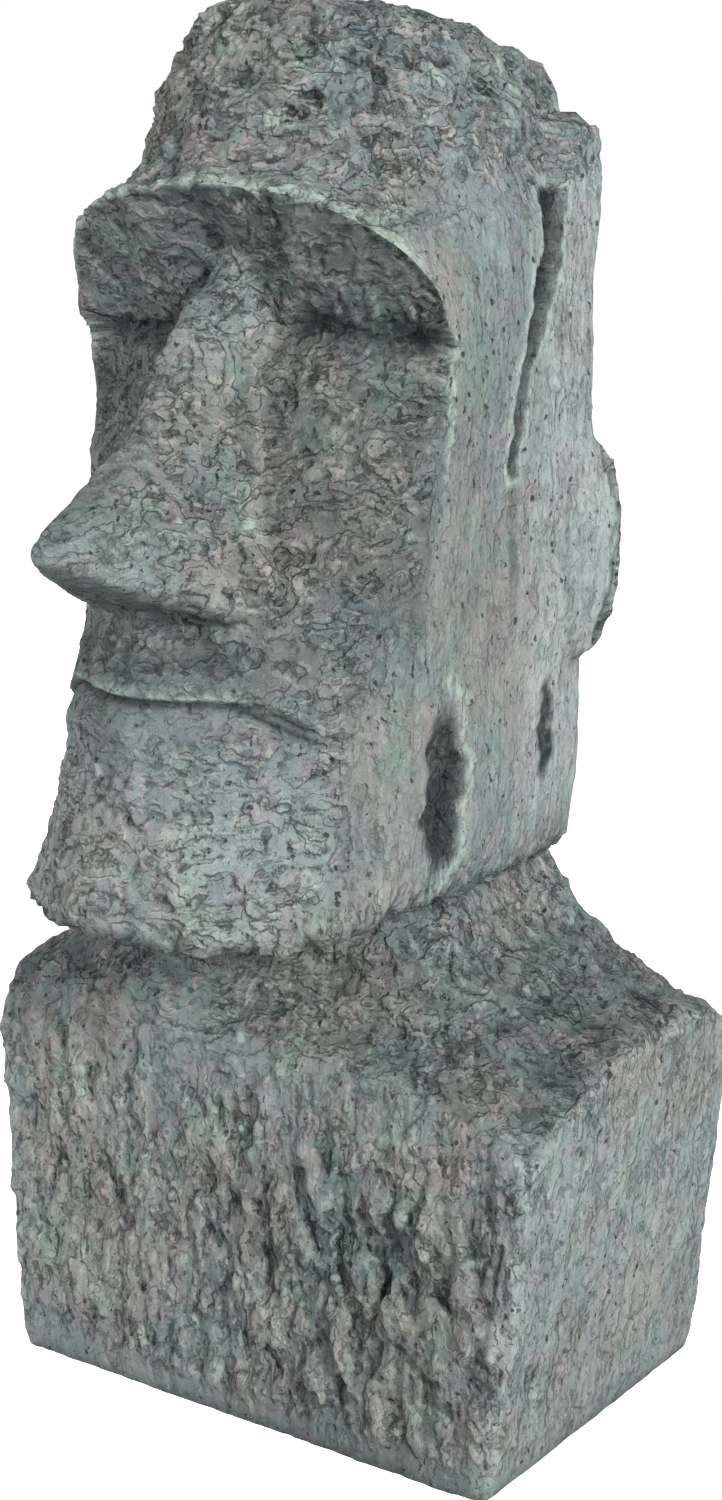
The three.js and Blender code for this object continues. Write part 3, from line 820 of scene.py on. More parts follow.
@dataclass(frozen=True)
class Patina:
    """Where the dark patina, the painted shade and the pale brushing lie, by place on the statue."""

    def masks(self, form: StatueForm, p: Array, n: Array, at: dict[str, Array]) -> dict[str, Array]:
        """Strength of each kind of paint at each point.

        The wash mask is the greatest of several parts: dark patina with painted
        shade in big hollows, on the brow's underside and along the eye line,
        dark patina over the upper lip, painted shade on what faces down, and
        darker tops of the shoulders. The dark mask is painted shade in the cuts,
        each by its own formula. The pale brushing lies on the flanks and broad
        edges, and the line mask on the thin rims of the brow, border, mouth and
        block.

        Args:
            form: the plain form.
            p: points on it.
            n: its outward normals.
            at: the regions of the tool marks.

        Returns:
            The masks "wash", "dark", "pale", "line" and "smooth", from 0 to 1.
        """
        x, y, z = p[..., 0], p[..., 1], p[..., 2]
        ax = np.abs(x)
        zl, ze, zm = form.lip_height(ax), form.eye_height(ax), form.mouth_height(ax)
        face = facing(n) * ease(246, 254, z) * ease(101, 98, ax)
        nose = ease(10, 20, -y - form.face_reach(x, z))
        off_nose = 1 - nose
        # concavity at two reaches: for the patina and painted shade in hollows, and for the painted shade
        # in slits
        hollow, slit = (clamp(1 - form(p + r * n) / r) for r in (14, 3))
        edge = clamp(1 + form(p - 7 * n) / 7)
        side, shaded = ease(64, 72, x), ease(0, -30, x)
        turn = np.abs(n[..., 0])
        gap, jaw_reach = form.crack_gap(y, z), form.jaw.reach(x, y, z)
        crack = np.minimum(gap, form.crack_gap(y - 2.2 - ease(470, 495, z), z))
        jaw = ease(1.45, 1.0, jaw_reach) * side
        border = ease(300, 335, z) * ease(500, 486, z) * ease(-20, -50, y)
        # painted shade in the cuts: the crack, the pit, the jaw hollow, the lobe groove, the mouth's
        # parting, the eye groove and narrow slits
        dark = [
            ease(0.9, -0.3, gap) * side,
            0.5 * ease(1.8, 0.2, crack) * side,
            ease(1.6, 1.1, form.pit.reach(x, y, z)) * side,
            0.9 * jaw,
            0.9 * ease(1.4, -0.5, form.lobe_groove(y, z)) * ease(86, 92, ax),
            0.95 * face * bell((z - zm + 1.2) / 1.4) * ease(80, 62, ax) * off_nose,
            0.75 * face * bell((z - ze - 2) / 3.6) * ease(18, 30, ax) * ease(96, 84, ax) * off_nose,
            0.85 * ease(0.3, 0.8, slit),
        ]
        wash_and_shade = [
            # dark patina with painted shade in big hollows
            0.65 * ease(0.3, 1.0, hollow),
            # dark patina with painted shade on the brow's underside and along the eye line, less on the
            # side away from the key light
            0.3 * face * ease(ze - 6, ze + 8, z) * ease(zl + 1, zl - 5, z),
            (0.95 * face * bell((z - ze - 2) / 11) * ease(14, 30, ax) * ease(97, 86, ax) * off_nose
             * (1 - 0.25 * shaded)),
            0.7 * face * bell((z - zm - 15) / 9) * ease(78, 40, ax) * off_nose,
            # painted shade on what faces down, less on the upper head's side away from the key light
            0.75 * ease(-0.25, -0.7, n[..., 2]) * (1 - 0.4 * shaded * ease(400, 440, z)),
            0.4 * ease(0.3, 0.8, n[..., 2]) * ease(236, 226, z),
            0.5 * at["broken"],
            0.5 * face * ease(ze + 5, ze - 20, z) * ease(300, 380, z) * (1 - 0.5 * nose),
            0.12 * at["crown"],
            0.13 * at["flank"] * border,
            0.25 * face * bell((ax - 86) / 16) * bell((z - 300) / 40),
        ]
        pale = [
            (0.8 * ease(0.1, 0.34, edge)
             * (1 - 0.8 * ease(86, 94, ax) * ease(-20, -45, y) * ease(240, 260, z))),
            (0.08 + 0.77 * ease(-25, 5, y)) * at["flank"] * ease(262, 290, z) * ease(575, 545, z),
            0.35 * at["flank"] * at["wall"],
            0.4 * bell(x / 12) * nose,
            0.35 * face * bell((z - 285) / 34),
            0.5 * at["tip"],
        ]
        line = [
            (bell((z - zl - 0.3) / 1.9) * ease(-30, -50, y) * (z > 400) * ease(99.5, 98, ax)
             * ease(0.94, 0.8, turn)),
            0.85 * bell((ax - 95.2) / 1.7) * border * ease(0.985, 0.93, turn),
            0.75 * face * bell((z - zm - 2.2) / 1.4) * ease(84, 66, ax) * off_nose,
            0.8 * ease(0.3, 0.5, edge) * ease(230, 210, z),
            0.4 * ease(0.34, 0.6, edge) * ease(-30, -10, y) * ease(262, 300, z),
            0.7 * bell((crack - 2.9) / 1.2) * side,
            0.75 * bell((jaw_reach - 1.6) / 0.2) * side * ease(-82, -66, y),
        ]
        calm = [at["worn"] * (1 - jaw), 0.5 * at["wall"] * at["flank"], 0.5 * at["lips"], 0.5 * at["tip"],
                0.8 * at["foot"], 0.45 * at["wall"] * ease(148, 162, z)]
        # the painted shade of the cuts, which also keeps pale paint and lines out of them
        cut = np.max(dark, axis=0)
        return {"wash_and_shade": np.max(wash_and_shade, axis=0), "dark": cut, "pale": np.max(pale, axis=0) * (1 - cut),
                "line": np.max(line, axis=0) * (1 - cut), "smooth": np.max(calm, axis=0)}


@dataclass
class Statue:
    """The one piece of the object: the stone statue."""

    unit: float
    form: StatueForm = field(default_factory=StatueForm)
    marks: ToolMarks = ToolMarks()
    patina: Patina = Patina()

    def build(self) -> bpy.types.Object:
        """Trace the skin, lay the tool marks over it and make the mesh.

        Returns:
            The statue's object, at the origin, with its masks as attributes.
        """
        grid = StatueSkin(self.form).points()
        base = grid[1:]
        n = self.form.normals(base)
        at = self.marks.regions(base, n)
        # turned is the drop toward the key light: it sets painted highlight and shadow on the slopes
        height, torn, turned = self.marks.relief(base, at)
        height = height * (1 - 0.6 * ease(0.45, 0.9, clamp(1 - self.form(base + 3 * n) / 3)))
        skin = base + n * height[..., None]
        skin[..., 2] = np.maximum(skin[..., 2], 0.6)
        foot = skin[-1:] * np.array([0.985, 0.985, 0.0])
        under = [foot * np.array([s, s, 1.0]) for s in (1.0, 0.9, 0.6, 0.3)]
        pole = grid[0, 0] + np.array([0, 0, 1.0]) * height[0].mean()
        rows = np.concatenate([skin] + under)
        masks = {"relief": height, "torn": torn, "turned": turned, "upright": at["upright"],
                 **self.patina.masks(self.form, base, n, at)}
        values = {}
        for name in MASKS:
            v = np.concatenate([masks[name]] + [masks[name][-1:]] * len(under)).ravel()
            values[name] = np.append(v, [v[0], v[-1]])
        verts = np.concatenate([rows.reshape(-1, 3), [pole, [0.0, 0.0, 0.0]]]) * (self.unit / 1000.0)
        return self.mesh(NODE + "_skin", verts, rows.shape[0], rows.shape[1], values)

    @staticmethod
    def mesh(name: str, verts: Array, m: int, n: int, values: dict[str, Array]) -> bpy.types.Object:
        """Close a wrapped grid of m rows by n columns with two pole fans.

        Every cell is split along its shorter diagonal.

        Args:
            name: name of the object.
            verts: grid points row by row, then the top and bottom poles.
            m: number of rows.
            n: number of columns.
            values: one number per vertex for each attribute.

        Returns:
            The object, linked to the scene and shaded smooth.
        """
        i, j = np.meshgrid(np.arange(m - 1), np.arange(n), indexing="ij")
        a, b = i * n + j, i * n + (j + 1) % n
        c, d = b + n, a + n
        one = (((verts[a] - verts[c]) ** 2).sum(-1) < ((verts[b] - verts[d]) ** 2).sum(-1))[..., None]
        first = np.where(one, np.stack([a, d, c], -1), np.stack([a, d, b], -1))
        other = np.where(one, np.stack([a, c, b], -1), np.stack([b, d, c], -1))
        k = np.arange(n)
        top = np.stack([np.full(n, m * n), k, (k + 1) % n], -1)
        low = np.stack([np.full(n, m * n + 1), (m - 1) * n + (k + 1) % n, (m - 1) * n + k], -1)
        faces = np.concatenate([first.reshape(-1, 3), other.reshape(-1, 3), top, low]).astype(np.int32)
        data = bpy.data.meshes.new(name)
        data.vertices.add(len(verts))
        data.vertices.foreach_set("co", verts.astype(np.float32).ravel())
        data.loops.add(faces.size)
        data.loops.foreach_set("vertex_index", faces.ravel())
        data.polygons.add(len(faces))
        data.polygons.foreach_set("loop_start", np.arange(0, faces.size, 3, dtype=np.int32))
        data.polygons.foreach_set("loop_total", np.full(len(faces), 3, dtype=np.int32))
        data.update(calc_edges=True)
        data.validate()
        data.shade_smooth()
        for key, v in values.items():
            layer = data.attributes.new(key, "FLOAT", "POINT")
            layer.data.foreach_set("value", v.astype(np.float32))
        piece = bpy.data.objects.new(name, data)
        bpy.context.scene.collection.objects.link(piece)
        return piece


# ---- the stone finish ------------------------------------------------------
def srgb(r: int, g: int, b: int) -> Colour:
    """Screen colour from 0 to 255 to the linear colour that the shader takes."""
    lin = [(c / 255 / 12.92) if c <= 10 else ((c / 255 + 0.055) / 1.055) ** 2.4 for c in (r, g, b)]
    return lin[0], lin[1], lin[2]


class Blend(Enum):
    """Ways of laying one colour over another."""

    OVER = "MIX"
    DARKEN = "MULTIPLY"


class Board:
    """A shader node tree with short ways of adding its nodes."""

    def __init__(self, tree: bpy.types.NodeTree) -> None:
        """Keep the tree that the nodes go into."""
        self.tree = tree

    def add(self, kind: str, feeds: dict | None = None, **settings: object) -> Node:
        """Add a node, set its properties and feed its inputs by name or number."""
        node = self.tree.nodes.new(kind)
        for key, value in settings.items():
            setattr(node, key, value)
        for key, value in (feeds or {}).items():
            self.feed(node.inputs[key], value)
        return node

    def feed(self, socket: Socket, value: object) -> None:
        """Link a socket to another, or set its value."""
        if isinstance(value, Socket):
            self.tree.links.new(value, socket)
        elif isinstance(value, tuple) and socket.type == "RGBA":
            socket.default_value = (*value, 1.0)
        else:
            socket.default_value = value

    def math(self, op: str, *values: object) -> Socket:
        """One Math node."""
        return self.add("ShaderNodeMath", dict(enumerate(values)), operation=op).outputs[0]

    def times(self, *values: object) -> Socket:
        """Product of all the values."""
        return reduce(lambda a, b: self.math("MULTIPLY", a, b), values)

    def most(self, *values: object) -> Socket:
        """Greatest of all the values."""
        return reduce(lambda a, b: self.math("MAXIMUM", a, b), values)

    def total(self, base: object, *parts: tuple[object, object]) -> Socket:
        """The base plus each part's value times its gain."""
        return reduce(lambda a, part: self.math("MULTIPLY_ADD", *part, a), parts, base)

    def vector(self, op: str, a: object, b: object) -> Socket:
        """One Vector Math node."""
        second = "Scale" if op == "SCALE" else 1
        node = self.add("ShaderNodeVectorMath", {0: a, second: b}, operation=op)
        return node.outputs["Value" if op == "DOT_PRODUCT" else "Vector"]

    def step(self, value: object, low: float, high: float,
             to_low: float = 0.0, to_high: float = 1.0) -> Socket:
        """Smooth step of a value from low to high."""
        feeds = dict(enumerate((value, low, high, to_low, to_high)))
        return self.add("ShaderNodeMapRange", feeds, interpolation_type="SMOOTHSTEP").outputs[0]

    def layer(self, factor: object, under: object, over: object, how: Blend = Blend.OVER) -> Socket:
        """Lay one colour over another by a factor."""
        node = self.add("ShaderNodeMix", data_type="RGBA", blend_type=how.value, clamp_factor=True)
        for key, value in (("Factor", factor), (6, under), (7, over)):
            self.feed(node.inputs[key], value)
        return node.outputs[2]

    def noise(self, place: object, size: float, detail: float = 3.0, rough: float = 0.55,
              bend: float = 0.0, out: str = "Fac") -> Socket:
        """Noise of a given grain size in millimetres, around one half."""
        return self.add("ShaderNodeTexNoise", {"Vector": place, "Scale": 1.0 / size, "Detail": detail,
                                               "Roughness": rough, "Distortion": bend}).outputs[out]

    def swing(self, *values: object) -> Socket:
        """The same noise around nought."""
        return self.math("SUBTRACT", self.noise(*values), 0.5)

    def cells(self, place: object, size: float) -> Node:
        """Voronoi cells of a given size in millimetres."""
        return self.add("ShaderNodeTexVoronoi", {"Vector": place, "Scale": 1.0 / size}, feature="F1")

    def split(self, colour: Socket) -> list[Socket]:
        """A colour's three parts."""
        return list(self.add("ShaderNodeSeparateColor", {0: colour}).outputs)

    def steps(self, flow: object) -> Socket:
        """Steps of one each, climbing over the last fifth."""
        return self.math("ADD", self.math("FLOOR", flow), self.step(self.math("FRACT", flow), 0.78, 1.0))

    def stretch(self, place: object, by: Triple, turn: Triple = (0.0, 0.0, 0.0)) -> Socket:
        """Turn and scale the place that a pattern is read at."""
        return self.add("ShaderNodeMapping", {"Vector": place, "Rotation": turn, "Scale": by},
                        vector_type="POINT").outputs["Vector"]


def node_group(name: str, places: tuple[str, ...], numbers: tuple[str, ...]) -> tuple[Board, Node, Node]:
    """An empty node group with vector inputs and number outputs.

    Args:
        name: name of the group.
        places: names of its inputs.
        numbers: names of its outputs.

    Returns:
        Its board, its input node and its output node.
    """
    tree = bpy.data.node_groups.new(name, "ShaderNodeTree")
    for key in places:
        tree.interface.new_socket(key, in_out="INPUT", socket_type="NodeSocketVector")
    for key in numbers:
        tree.interface.new_socket(key, in_out="OUTPUT", socket_type="NodeSocketFloat")
    b = Board(tree)
    return b, b.add("NodeGroupInput"), b.add("NodeGroupOutput")


@dataclass(frozen=True)
class ScaleGroup:
    """Node group of small broken scales in the stone.

    Its height is, for each cell of a pattern, a random level plus a random
    slope times the way from the cell's centre, so cells meet in sharp steps.
    """

    name: str = "broken_scales"
    level: float = 0.6            # share of the random level in the height

    def build(self) -> bpy.types.NodeTree:
        """Make the group.

        Returns:
            The group, with Place in, and Height (about -0.6 to 0.6) and Tone out.
        """
        b, given, out = node_group(self.name, ("Place",), ("Height", "Tone"))
        cell = b.cells(given.outputs["Place"], 1.0)
        way = b.vector("SUBTRACT", given.outputs["Place"], cell.outputs["Position"])
        slope = b.vector("SUBTRACT", cell.outputs["Color"], MIDDLE)
        parts = b.split(cell.outputs["Color"])
        tilt = b.vector("DOT_PRODUCT", way, slope)
        b.feed(out.inputs["Height"], b.total(tilt, (b.math("SUBTRACT", parts[0], 0.5), self.level)))
        b.feed(out.inputs["Tone"], parts[1])
        return b.tree


@dataclass(frozen=True)
class TornGroup:
    """Node group of thin torn layers: a smooth noise cut into steps.

    The whole part of the noise times the number of layers is the layer on
    top, and the climb from one to the next takes the last fifth. The noise
    is shifted so that one step rims the high spots and one the hollows. The
    height read a little way off toward the key light tells which steps face
    that light, for a painted highlight, and which face away, for a painted
    shadow.
    """

    name: str = "torn_layers"
    layers: float = 4.5
    shift: float = -1.7
    slight: float = 0.06          # difference in height at which a step starts to show
    full: float = 0.5             # difference at which it shows fully

    def build(self) -> bpy.types.NodeTree:
        """Make the group.

        Returns:
            The group, with Place and Near (a point toward the key light) in, and
            Height (in layers), Facing (steps that face the key light, for a painted
            highlight) and Away (steps that face away, for a painted shadow) out.
        """
        b, given, out = node_group(self.name, ("Place", "Near"), ("Height", "Facing", "Away"))
        here, near = (
            b.steps(b.total(self.shift, (b.noise(given.outputs[key], 1.0, 2.0, 0.42), self.layers)))
            for key in ("Place", "Near"))
        turn = b.math("SUBTRACT", here, near)
        b.feed(out.inputs["Height"], here)
        b.feed(out.inputs["Facing"], b.step(turn, self.slight, self.full))
        b.feed(out.inputs["Away"], b.step(turn, -self.slight, -self.full))
        return b.tree


class StoneBoard(Board):
    """The stone's board: the mesh's masks and every pattern, in millimetres."""

    def __init__(self, tree: bpy.types.NodeTree) -> None:
        """Read the masks and lay out the patterns that height and paint share."""
        super().__init__(tree)
        self.place = self.vector("SCALE", self.add("ShaderNodeTexCoord").outputs["Object"], 1000.0)
        self.mask = {key: self.add("ShaderNodeAttribute", attribute_name=key).outputs["Fac"]
                     for key in MASKS}
        bent = self.vector("SUBTRACT", self.noise(self.place, 6.0, 4.0, 0.6, out="Color"), MIDDLE)
        self.loose = self.vector("ADD", self.place, self.vector("SCALE", bent, 6.0))
        # a point a little way toward the key light, so that the torn steps get painted highlights and
        # shadows
        self.near = self.vector("ADD", self.loose, (0.9, -0.4, 0.9))
        self.rugged = self.total(1.0, (self.mask["smooth"], -0.6))
        self.some = self.step(self.noise(self.place, 13.0), 0.4, 0.6)
        self.scarce = self.step(self.noise(self.place, 9.0, 3.0, 0.6), 0.4, 0.58, 0.3, 1.0)
        self.grain = self.swing(self.loose, 1.1, 4.0, 0.65)
        self.lumps = self.swing(self.loose, 4.4, 3.0, 0.55, 0.5)
        self.streak = self.times(self.swing(self.stretch(self.loose, (1.0, 1.0, 0.12)), 2.6, 3.0, 0.6),
                                 self.mask["upright"])
        self.scales()
        self.torn()
        self.pits()

    def pattern(self, group: bpy.types.NodeTree, keys: tuple[str, ...],
                free: Triple, turn: Triple, drawn: Triple) -> list[Socket]:
        """A group's outputs: its free pattern, or its upright one where that runs.

        Args:
            group: the node group.
            keys: names of the outputs wanted.
            free: size in millimetres of the free pattern along its own axes.
            turn: how far the free pattern is turned, in radians.
            drawn: size of the pattern drawn out upward on the walls and flanks.

        Returns:
            The blended outputs.
        """
        pair = []
        for size, angle in ((free, turn), (drawn, (0.0, 0.0, 0.0))):
            node = self.add("ShaderNodeGroup", node_tree=group)
            for key, spot in (("Place", self.loose), ("Near", self.near)):
                if key in node.inputs:
                    self.feed(node.inputs[key], self.stretch(spot, tuple(1.0 / s for s in size), angle))
            pair.append(node.outputs)
        return [self.add("ShaderNodeMix", {0: self.mask["upright"], 2: pair[0][key], 3: pair[1][key]},
                         data_type="FLOAT").outputs[0] for key in keys]

    def scales(self) -> None:
        """Coarse broken scales and finer chips."""
        group = ScaleGroup().build()
        keys, turn = ("Height", "Tone"), (0.5, 0.6, 0.0)
        coarse, self.tone = self.pattern(group, keys, (9.5, 9.5, 12.0), turn, (8.5, 8.5, 19.0))
        fine, = self.pattern(group, keys[:1], (3.6, 3.6, 5.5), turn, (3.4, 3.4, 8.5))
        self.tilt = self.times(coarse, self.rugged)
        self.chips = self.times(fine, self.rugged, self.total(0.35, (self.some, 0.9)))

    def torn(self) -> None:
        """Thin torn layers in two sizes, and the mesh's own layers made ragged, with masks for painted
        highlights on the steps that face the key light and painted shadows on those that face away.
        """
        group = TornGroup().build()
        keys = ("Height", "Facing", "Away")
        leaf, leaf_lip, leaf_foot = self.pattern(
            group, keys, (18.0, 13.0, 8.0), (0.2, 0.6, 0.0), (8.2, 8.2, 20.0))
        shred, shred_lip, shred_foot = self.pattern(
            group, keys, (8.0, 6.0, 3.6), (0.2, 0.4, 0.0), (3.7, 3.7, 9.0))
        clump = self.step(self.noise(self.place, 30.0), 0.38, 0.56, 0.3, 1.0)
        self.leaf = self.times(leaf, clump, self.rugged)
        self.shred = self.times(shred, self.rugged, self.some)
        # painted highlight on the steps that face the key light
        self.lips = self.most(self.times(leaf_lip, clump, 0.5), self.times(shred_lip, self.some, 0.35))
        # painted shadow on the steps that face away from the key light
        self.feet = self.most(self.times(leaf_foot, clump, 0.6), self.times(shred_foot, self.some, 0.5))
        ragged = self.total(self.mask["torn"], (self.swing(self.loose, 3.0, 4.0, 0.6), 1.1))
        part = self.math("FRACT", ragged)
        self.sheet = self.times(self.steps(ragged), self.rugged)
        # painted shadow line at the foot of each of the mesh's torn layers
        self.sheet_foot = self.times(self.step(part, 0.6, 0.76), self.step(part, 0.95, 0.88),
                                     self.some, 0.6)
        # the drop toward the key light, made ragged, for painted highlight and shadow
        self.turned = self.total(self.mask["turned"], (self.swing(self.loose, 2.2, 3.0, 0.6), 0.7))

    def pits(self) -> None:
        """Small round pits in some cells, and drawn-out specks."""
        hole = self.cells(self.loose, 7.5)
        kind = self.split(hole.outputs["Color"])[0]
        self.pit = self.times(self.step(hole.outputs["Distance"], 0.2, 0.08),
                              self.math("GREATER_THAN", kind, 0.72))
        drawn = self.stretch(self.loose, (1.0, 1.0, 0.5), (0.0, 0.5, 0.0))
        self.speck = self.step(self.noise(drawn, 2.4, 2.0, 0.5), 0.66, 0.7)

    def coats(self, colour: object, *coats: tuple[object, object]) -> Socket:
        """Lay colours one over another, each by its own factor."""
        for factor, over in coats:
            colour = self.layer(factor, colour, over)
        return colour


@dataclass(frozen=True)
class StoneCast:
    """Finish of the stone casting: grey body, dark patina wash, pale dry-brushed edges, with painted shade
    and highlights.
    """

    cool: Colour = srgb(112, 125, 127)
    warm: Colour = srgb(126, 127, 122)
    violet: Colour = srgb(131, 125, 128)
    moss: Colour = srgb(113, 132, 124)
    sand: Colour = srgb(166, 159, 150)
    pale: Colour = srgb(165, 175, 174)
    # dark patina colour, also used for painted shade under overhangs and along the eye line
    wash_and_shade: Colour = srgb(38, 52, 53)
    # colour of the painted shade inside the cuts
    cut: Colour = srgb(24, 33, 34)
    # painted shadow on step sides facing away from the key light, and the darkest pits and specks
    shadow_speck_black: Colour = srgb(14, 20, 22)
    # pale rim lines; with sand, also the colour of painted highlights
    rim: Colour = srgb(160, 177, 165)
    roughness: float = 0.86
    specular: float = 0.35
    bump: float = 0.002           # metres that one unit of the bump's height stands for

    def build(self) -> bpy.types.Material:
        """Make the material from object coordinates and the mesh's masks.

        Returns:
            The material.
        """
        mat = bpy.data.materials.new("stone_cast")
        mat.use_nodes = True
        b = StoneBoard(mat.node_tree)
        # a level around 0.5 that tells the proud spots from the low ones
        level = b.total(0.49, (b.mask["relief"], 0.045), (b.tilt, 0.14), (b.chips, 0.07), (b.lumps, 0.22),
                        (b.grain, 0.2), (b.leaf, 0.05), (b.streak, 0.45))
        sandy = b.step(b.noise(b.stretch(b.loose, (1.0, 1.0, 0.4)), 7.0, 3.0, 0.6), 0.5, 0.62)
        brushed = b.times(b.step(level, 0.52, 0.72), b.total(0.12, (sandy, 0.6)))
        low = b.step(level, 0.43, 0.27, 0.0, 0.85)
        height = b.total(b.times(b.chips, 0.4), (b.tilt, 1.0), (b.lumps, 0.7), (b.grain, 0.45),
                         (b.pit, -0.9), (b.leaf, 1.1), (b.shred, 0.4), (b.sheet, 0.8), (b.streak, 0.9))
        bump = b.add("ShaderNodeBump", {"Strength": 1.0, "Distance": self.bump, "Height": height})
        for key, value in (("Base Color", self.painted(b, level, brushed, low)),
                           ("Roughness", b.total(self.roughness, (brushed, -0.12), (low, 0.1))),
                           ("Specular IOR Level", self.specular),
                           ("Normal", bump.outputs[0])):
            b.feed(mat.node_tree.nodes["Principled BSDF"].inputs[key], value)
        return mat

    def body(self, b: StoneBoard, level: Socket) -> Socket:
        """The stone's own mottled colour, darker in its low spots."""
        colour = b.coats(
            self.cool,
            (b.step(b.noise(b.place, 62.0, 3.0, 0.6), 0.4, 0.62), self.warm),
            (b.step(b.noise(b.loose, 17.0, 3.0, 0.6, 0.4), 0.48, 0.68, 0.0, 0.8), self.violet),
            (b.step(b.noise(b.stretch(b.loose, (1.0, 1.0, 0.6)), 23.0, 3.0, 0.62), 0.5, 0.68, 0.0, 0.8),
             self.moss))
        shade = b.total(0.33, (level, 1.2), (b.tone, 0.14))
        grey = b.add("ShaderNodeCombineColor", {k: shade for k in range(3)})
        return b.layer(1.0, colour, grey.outputs[0], Blend.DARKEN)

    def painted(self, b: StoneBoard, level: Socket, brushed: Socket, low: Socket) -> Socket:
        """The body with every coat of paint over it.

        Pale brushing by place and sand on what stands proud come first, then
        dark patina by place and in the low spots, which also holds painted shade
        under overhangs, ragged pale lines along the statue's own edges, painted
        shade in the cuts, painted shadow on the steps that face away from the
        key light together with dark pits and specks, and last painted highlights
        on the steps that face the key light.

        Args:
            b: the stone's board.
            level: the level around 0.5.
            brushed: where the sand colour lies.
            low: where the dark patina has run into the low spots.

        Returns:
            The colour.
        """
        worn = b.step(b.total(b.noise(b.loose, 5.0, 3.0, 0.6), (level, 0.5)), 0.62, 0.8, 0.25, 0.95)
        # painted shadow: steps facing away from the key light, slopes dropping away from it, and the feet
        # of the torn layers
        foot = b.most(b.feet, b.times(b.step(b.turned, -0.4, -1.1, 0.0, 0.85), b.scarce), b.sheet_foot)
        step_shadows_and_specks = b.most(b.times(foot, b.rugged), b.pit, b.speck)
        # painted highlight on steps and slopes facing the key light
        lip = b.most(b.lips, b.times(b.step(b.turned, 0.4, 1.1, 0.0, 0.65), b.scarce))
        bare = b.math("SUBTRACT", 1.0, b.most(b.mask["dark"], b.times(b.mask["wash_and_shade"], 0.75)))
        # colour of that painted highlight, sand or pale rim
        tint = b.layer(b.step(b.noise(b.place, 41.0, 3.0, 0.6), 0.42, 0.58), self.sand, self.rim)
        return b.coats(
            self.body(b, level),
            (b.times(b.mask["pale"], 0.7, b.step(level, 0.3, 0.6)), self.pale),
            (brushed, self.sand),
            (low, self.wash_and_shade),
            # dark patina by place, with painted shade under overhangs and along the eye line
            (b.times(b.mask["wash_and_shade"], b.step(level, 0.8, 0.4, 0.3, 1.0)), self.wash_and_shade),
            (b.times(b.mask["line"], worn), self.rim),
            # painted shade inside the cuts
            (b.times(b.mask["dark"], b.step(level, 0.75, 0.45, 0.5, 1.0)), self.cut),
            # painted shadows of the steps, with dark pits and specks
            (b.times(step_shadows_and_specks, 0.85), self.shadow_speck_black),
            # painted highlights
            (b.times(lip, b.rugged, bare), tint))


# ---- the studio ------------------------------------------------------------
@dataclass(frozen=True)
class Softbox:
    """One square area light: place in metres, width in metres, power in watts."""

    name: str
    at: Triple
    size: float
    power: float
    tint: Colour = (1.0, 1.0, 1.0)

    def build(self, aim: Triple) -> None:
        """Hang the light, aimed at a point."""
        lamp = bpy.data.lights.new(self.name, "AREA")
        lamp.shape, lamp.size, lamp.energy, lamp.color = "SQUARE", self.size, self.power, self.tint
        obj = bpy.data.objects.new(self.name, lamp)
        obj.location = self.at
        obj.rotation_euler = (Vector(aim) - Vector(self.at)).to_track_quat("-Z", "Y").to_euler()
        bpy.context.scene.collection.objects.link(obj)


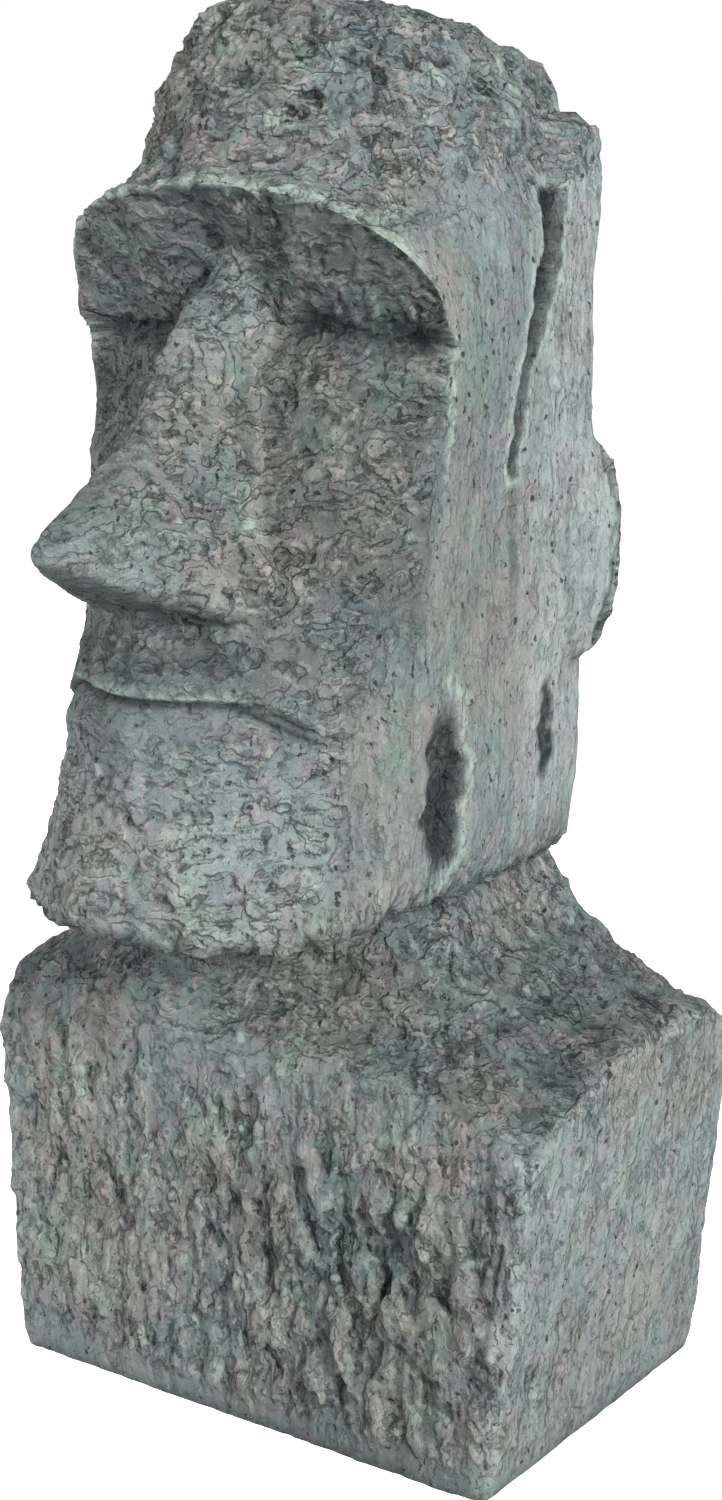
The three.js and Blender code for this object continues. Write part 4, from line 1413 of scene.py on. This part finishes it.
@dataclass(frozen=True)
class Studio:
    """Plain pale floor, soft lights and the camera."""

    unit: float
    eye: Triple = (0.6341, -0.9034, 0.5427)
    azimuth: float = 35.05
    pitch: float = 12.63
    roll: float = 0.24
    lens: float = 39.27
    floor_radius: float = 14.0
    floor_sides: int = 96
    floor_paint: Colour = (0.87, 0.87, 0.865)
    floor_glow: float = 0.86      # light the floor gives the camera alone, so it shows plain white
    sky: Colour = (0.97, 0.985, 1.0)
    sky_light: float = 0.26
    sky_glow: float = 0.78        # what the camera sees of the sky above its light
    aim: Triple = (0.0, 0.0, 0.32)
    boxes: tuple[Softbox, ...] = (
        Softbox("key", (2.05, -0.95, 1.15), 0.35, 77.0, (1.0, 1.0, 0.995)),
        Softbox("fill", (-1.6, -1.7, 1.1), 0.6, 36.0),
        Softbox("rear", (-0.9, 2.2, 1.1), 0.8, 30.0))

    @staticmethod
    def seen(b: Board, glow: float, base: float) -> Socket:
        """A base strength, and the glow on top of it for the camera's own rays."""
        return b.total(base, (b.add("ShaderNodeLightPath").outputs["Is Camera Ray"], glow))

    def floor(self) -> bpy.types.Object:
        """A wide pale disc under the statue."""
        turn = np.linspace(0, 2 * math.pi, self.floor_sides, endpoint=False)
        ring = np.stack([np.cos(turn), np.sin(turn), 0 * turn], -1) * self.floor_radius
        data = bpy.data.meshes.new("studio_floor")
        data.from_pydata([tuple(p) for p in ring.tolist()], [], [list(range(self.floor_sides))])
        obj = bpy.data.objects.new("studio_floor", data)
        bpy.context.scene.collection.objects.link(obj)
        mat = bpy.data.materials.new("floor_paint")
        mat.use_nodes = True
        b = Board(mat.node_tree)
        glow = self.seen(b, self.floor_glow, 0.0)
        for key, value in (("Base Color", self.floor_paint), ("Roughness", 0.9),
                           ("Emission Color", (1.0, 1.0, 1.0)), ("Emission Strength", glow)):
            b.feed(mat.node_tree.nodes["Principled BSDF"].inputs[key], value)
        data.materials.append(mat)
        return obj

    def light(self) -> None:
        """Even white surroundings and the soft boxes."""
        world = bpy.data.worlds.new("studio")
        bpy.context.scene.world = world
        world.use_nodes = True
        back = world.node_tree.nodes["Background"]
        b = Board(world.node_tree)
        b.feed(back.inputs[0], self.sky)
        b.feed(back.inputs[1], self.seen(b, self.sky_glow, self.sky_light))
        for box in self.boxes:
            box.build(self.aim)

    def camera(self) -> None:
        """The camera, turned about Z, pitched down and rolled a little."""
        cam = bpy.data.cameras.new("view")
        cam.sensor_fit, cam.sensor_height, cam.lens = "VERTICAL", 24.0, self.lens
        cam.clip_start, cam.clip_end = 0.05, 60.0
        obj = bpy.data.objects.new("view", cam)
        turn = (Matrix.Rotation(math.radians(self.azimuth), 4, "Z")
                @ Matrix.Rotation(math.radians(90 - self.pitch), 4, "X")
                @ Matrix.Rotation(math.radians(self.roll), 4, "Z"))
        obj.matrix_world = Matrix.Translation(Vector(self.eye) * self.unit) @ turn
        bpy.context.scene.collection.objects.link(obj)
        bpy.context.scene.camera = obj


def size_report(after: object) -> None:
    """Given the dressed object's box, it only defines a helper that turns a box into plain lists of
    numbers; nothing is written.
    """
    def plain(box: object) -> list[list[float]]:
        """A box as two lists of numbers."""
        return [[float(v) for v in corner] for corner in box]


def main() -> None:
    """Build the statue, dress it, then set up the studio."""
    logging.basicConfig(level=logging.INFO, format="%(name)s: %(message)s")
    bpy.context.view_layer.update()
    low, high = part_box(NODE)
    unit = (high[2] - low[2]) * 1000.0 / DRAWN_HEIGHT
    studio = Studio(unit)
    studio.camera()
    studio.light()
    studio.floor()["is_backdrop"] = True
    statue = Statue(unit).build()
    statue.data.materials.append(StoneCast().build())
    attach(statue, "root")
    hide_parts(NODE)
    LOG.info("%s: %d vertices, %d faces", statue.name, len(statue.data.vertices), len(statue.data.polygons))
    bpy.context.scene.view_settings.view_transform = "Standard"
    size_report(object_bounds())


if __name__ == "__main__":
    main()
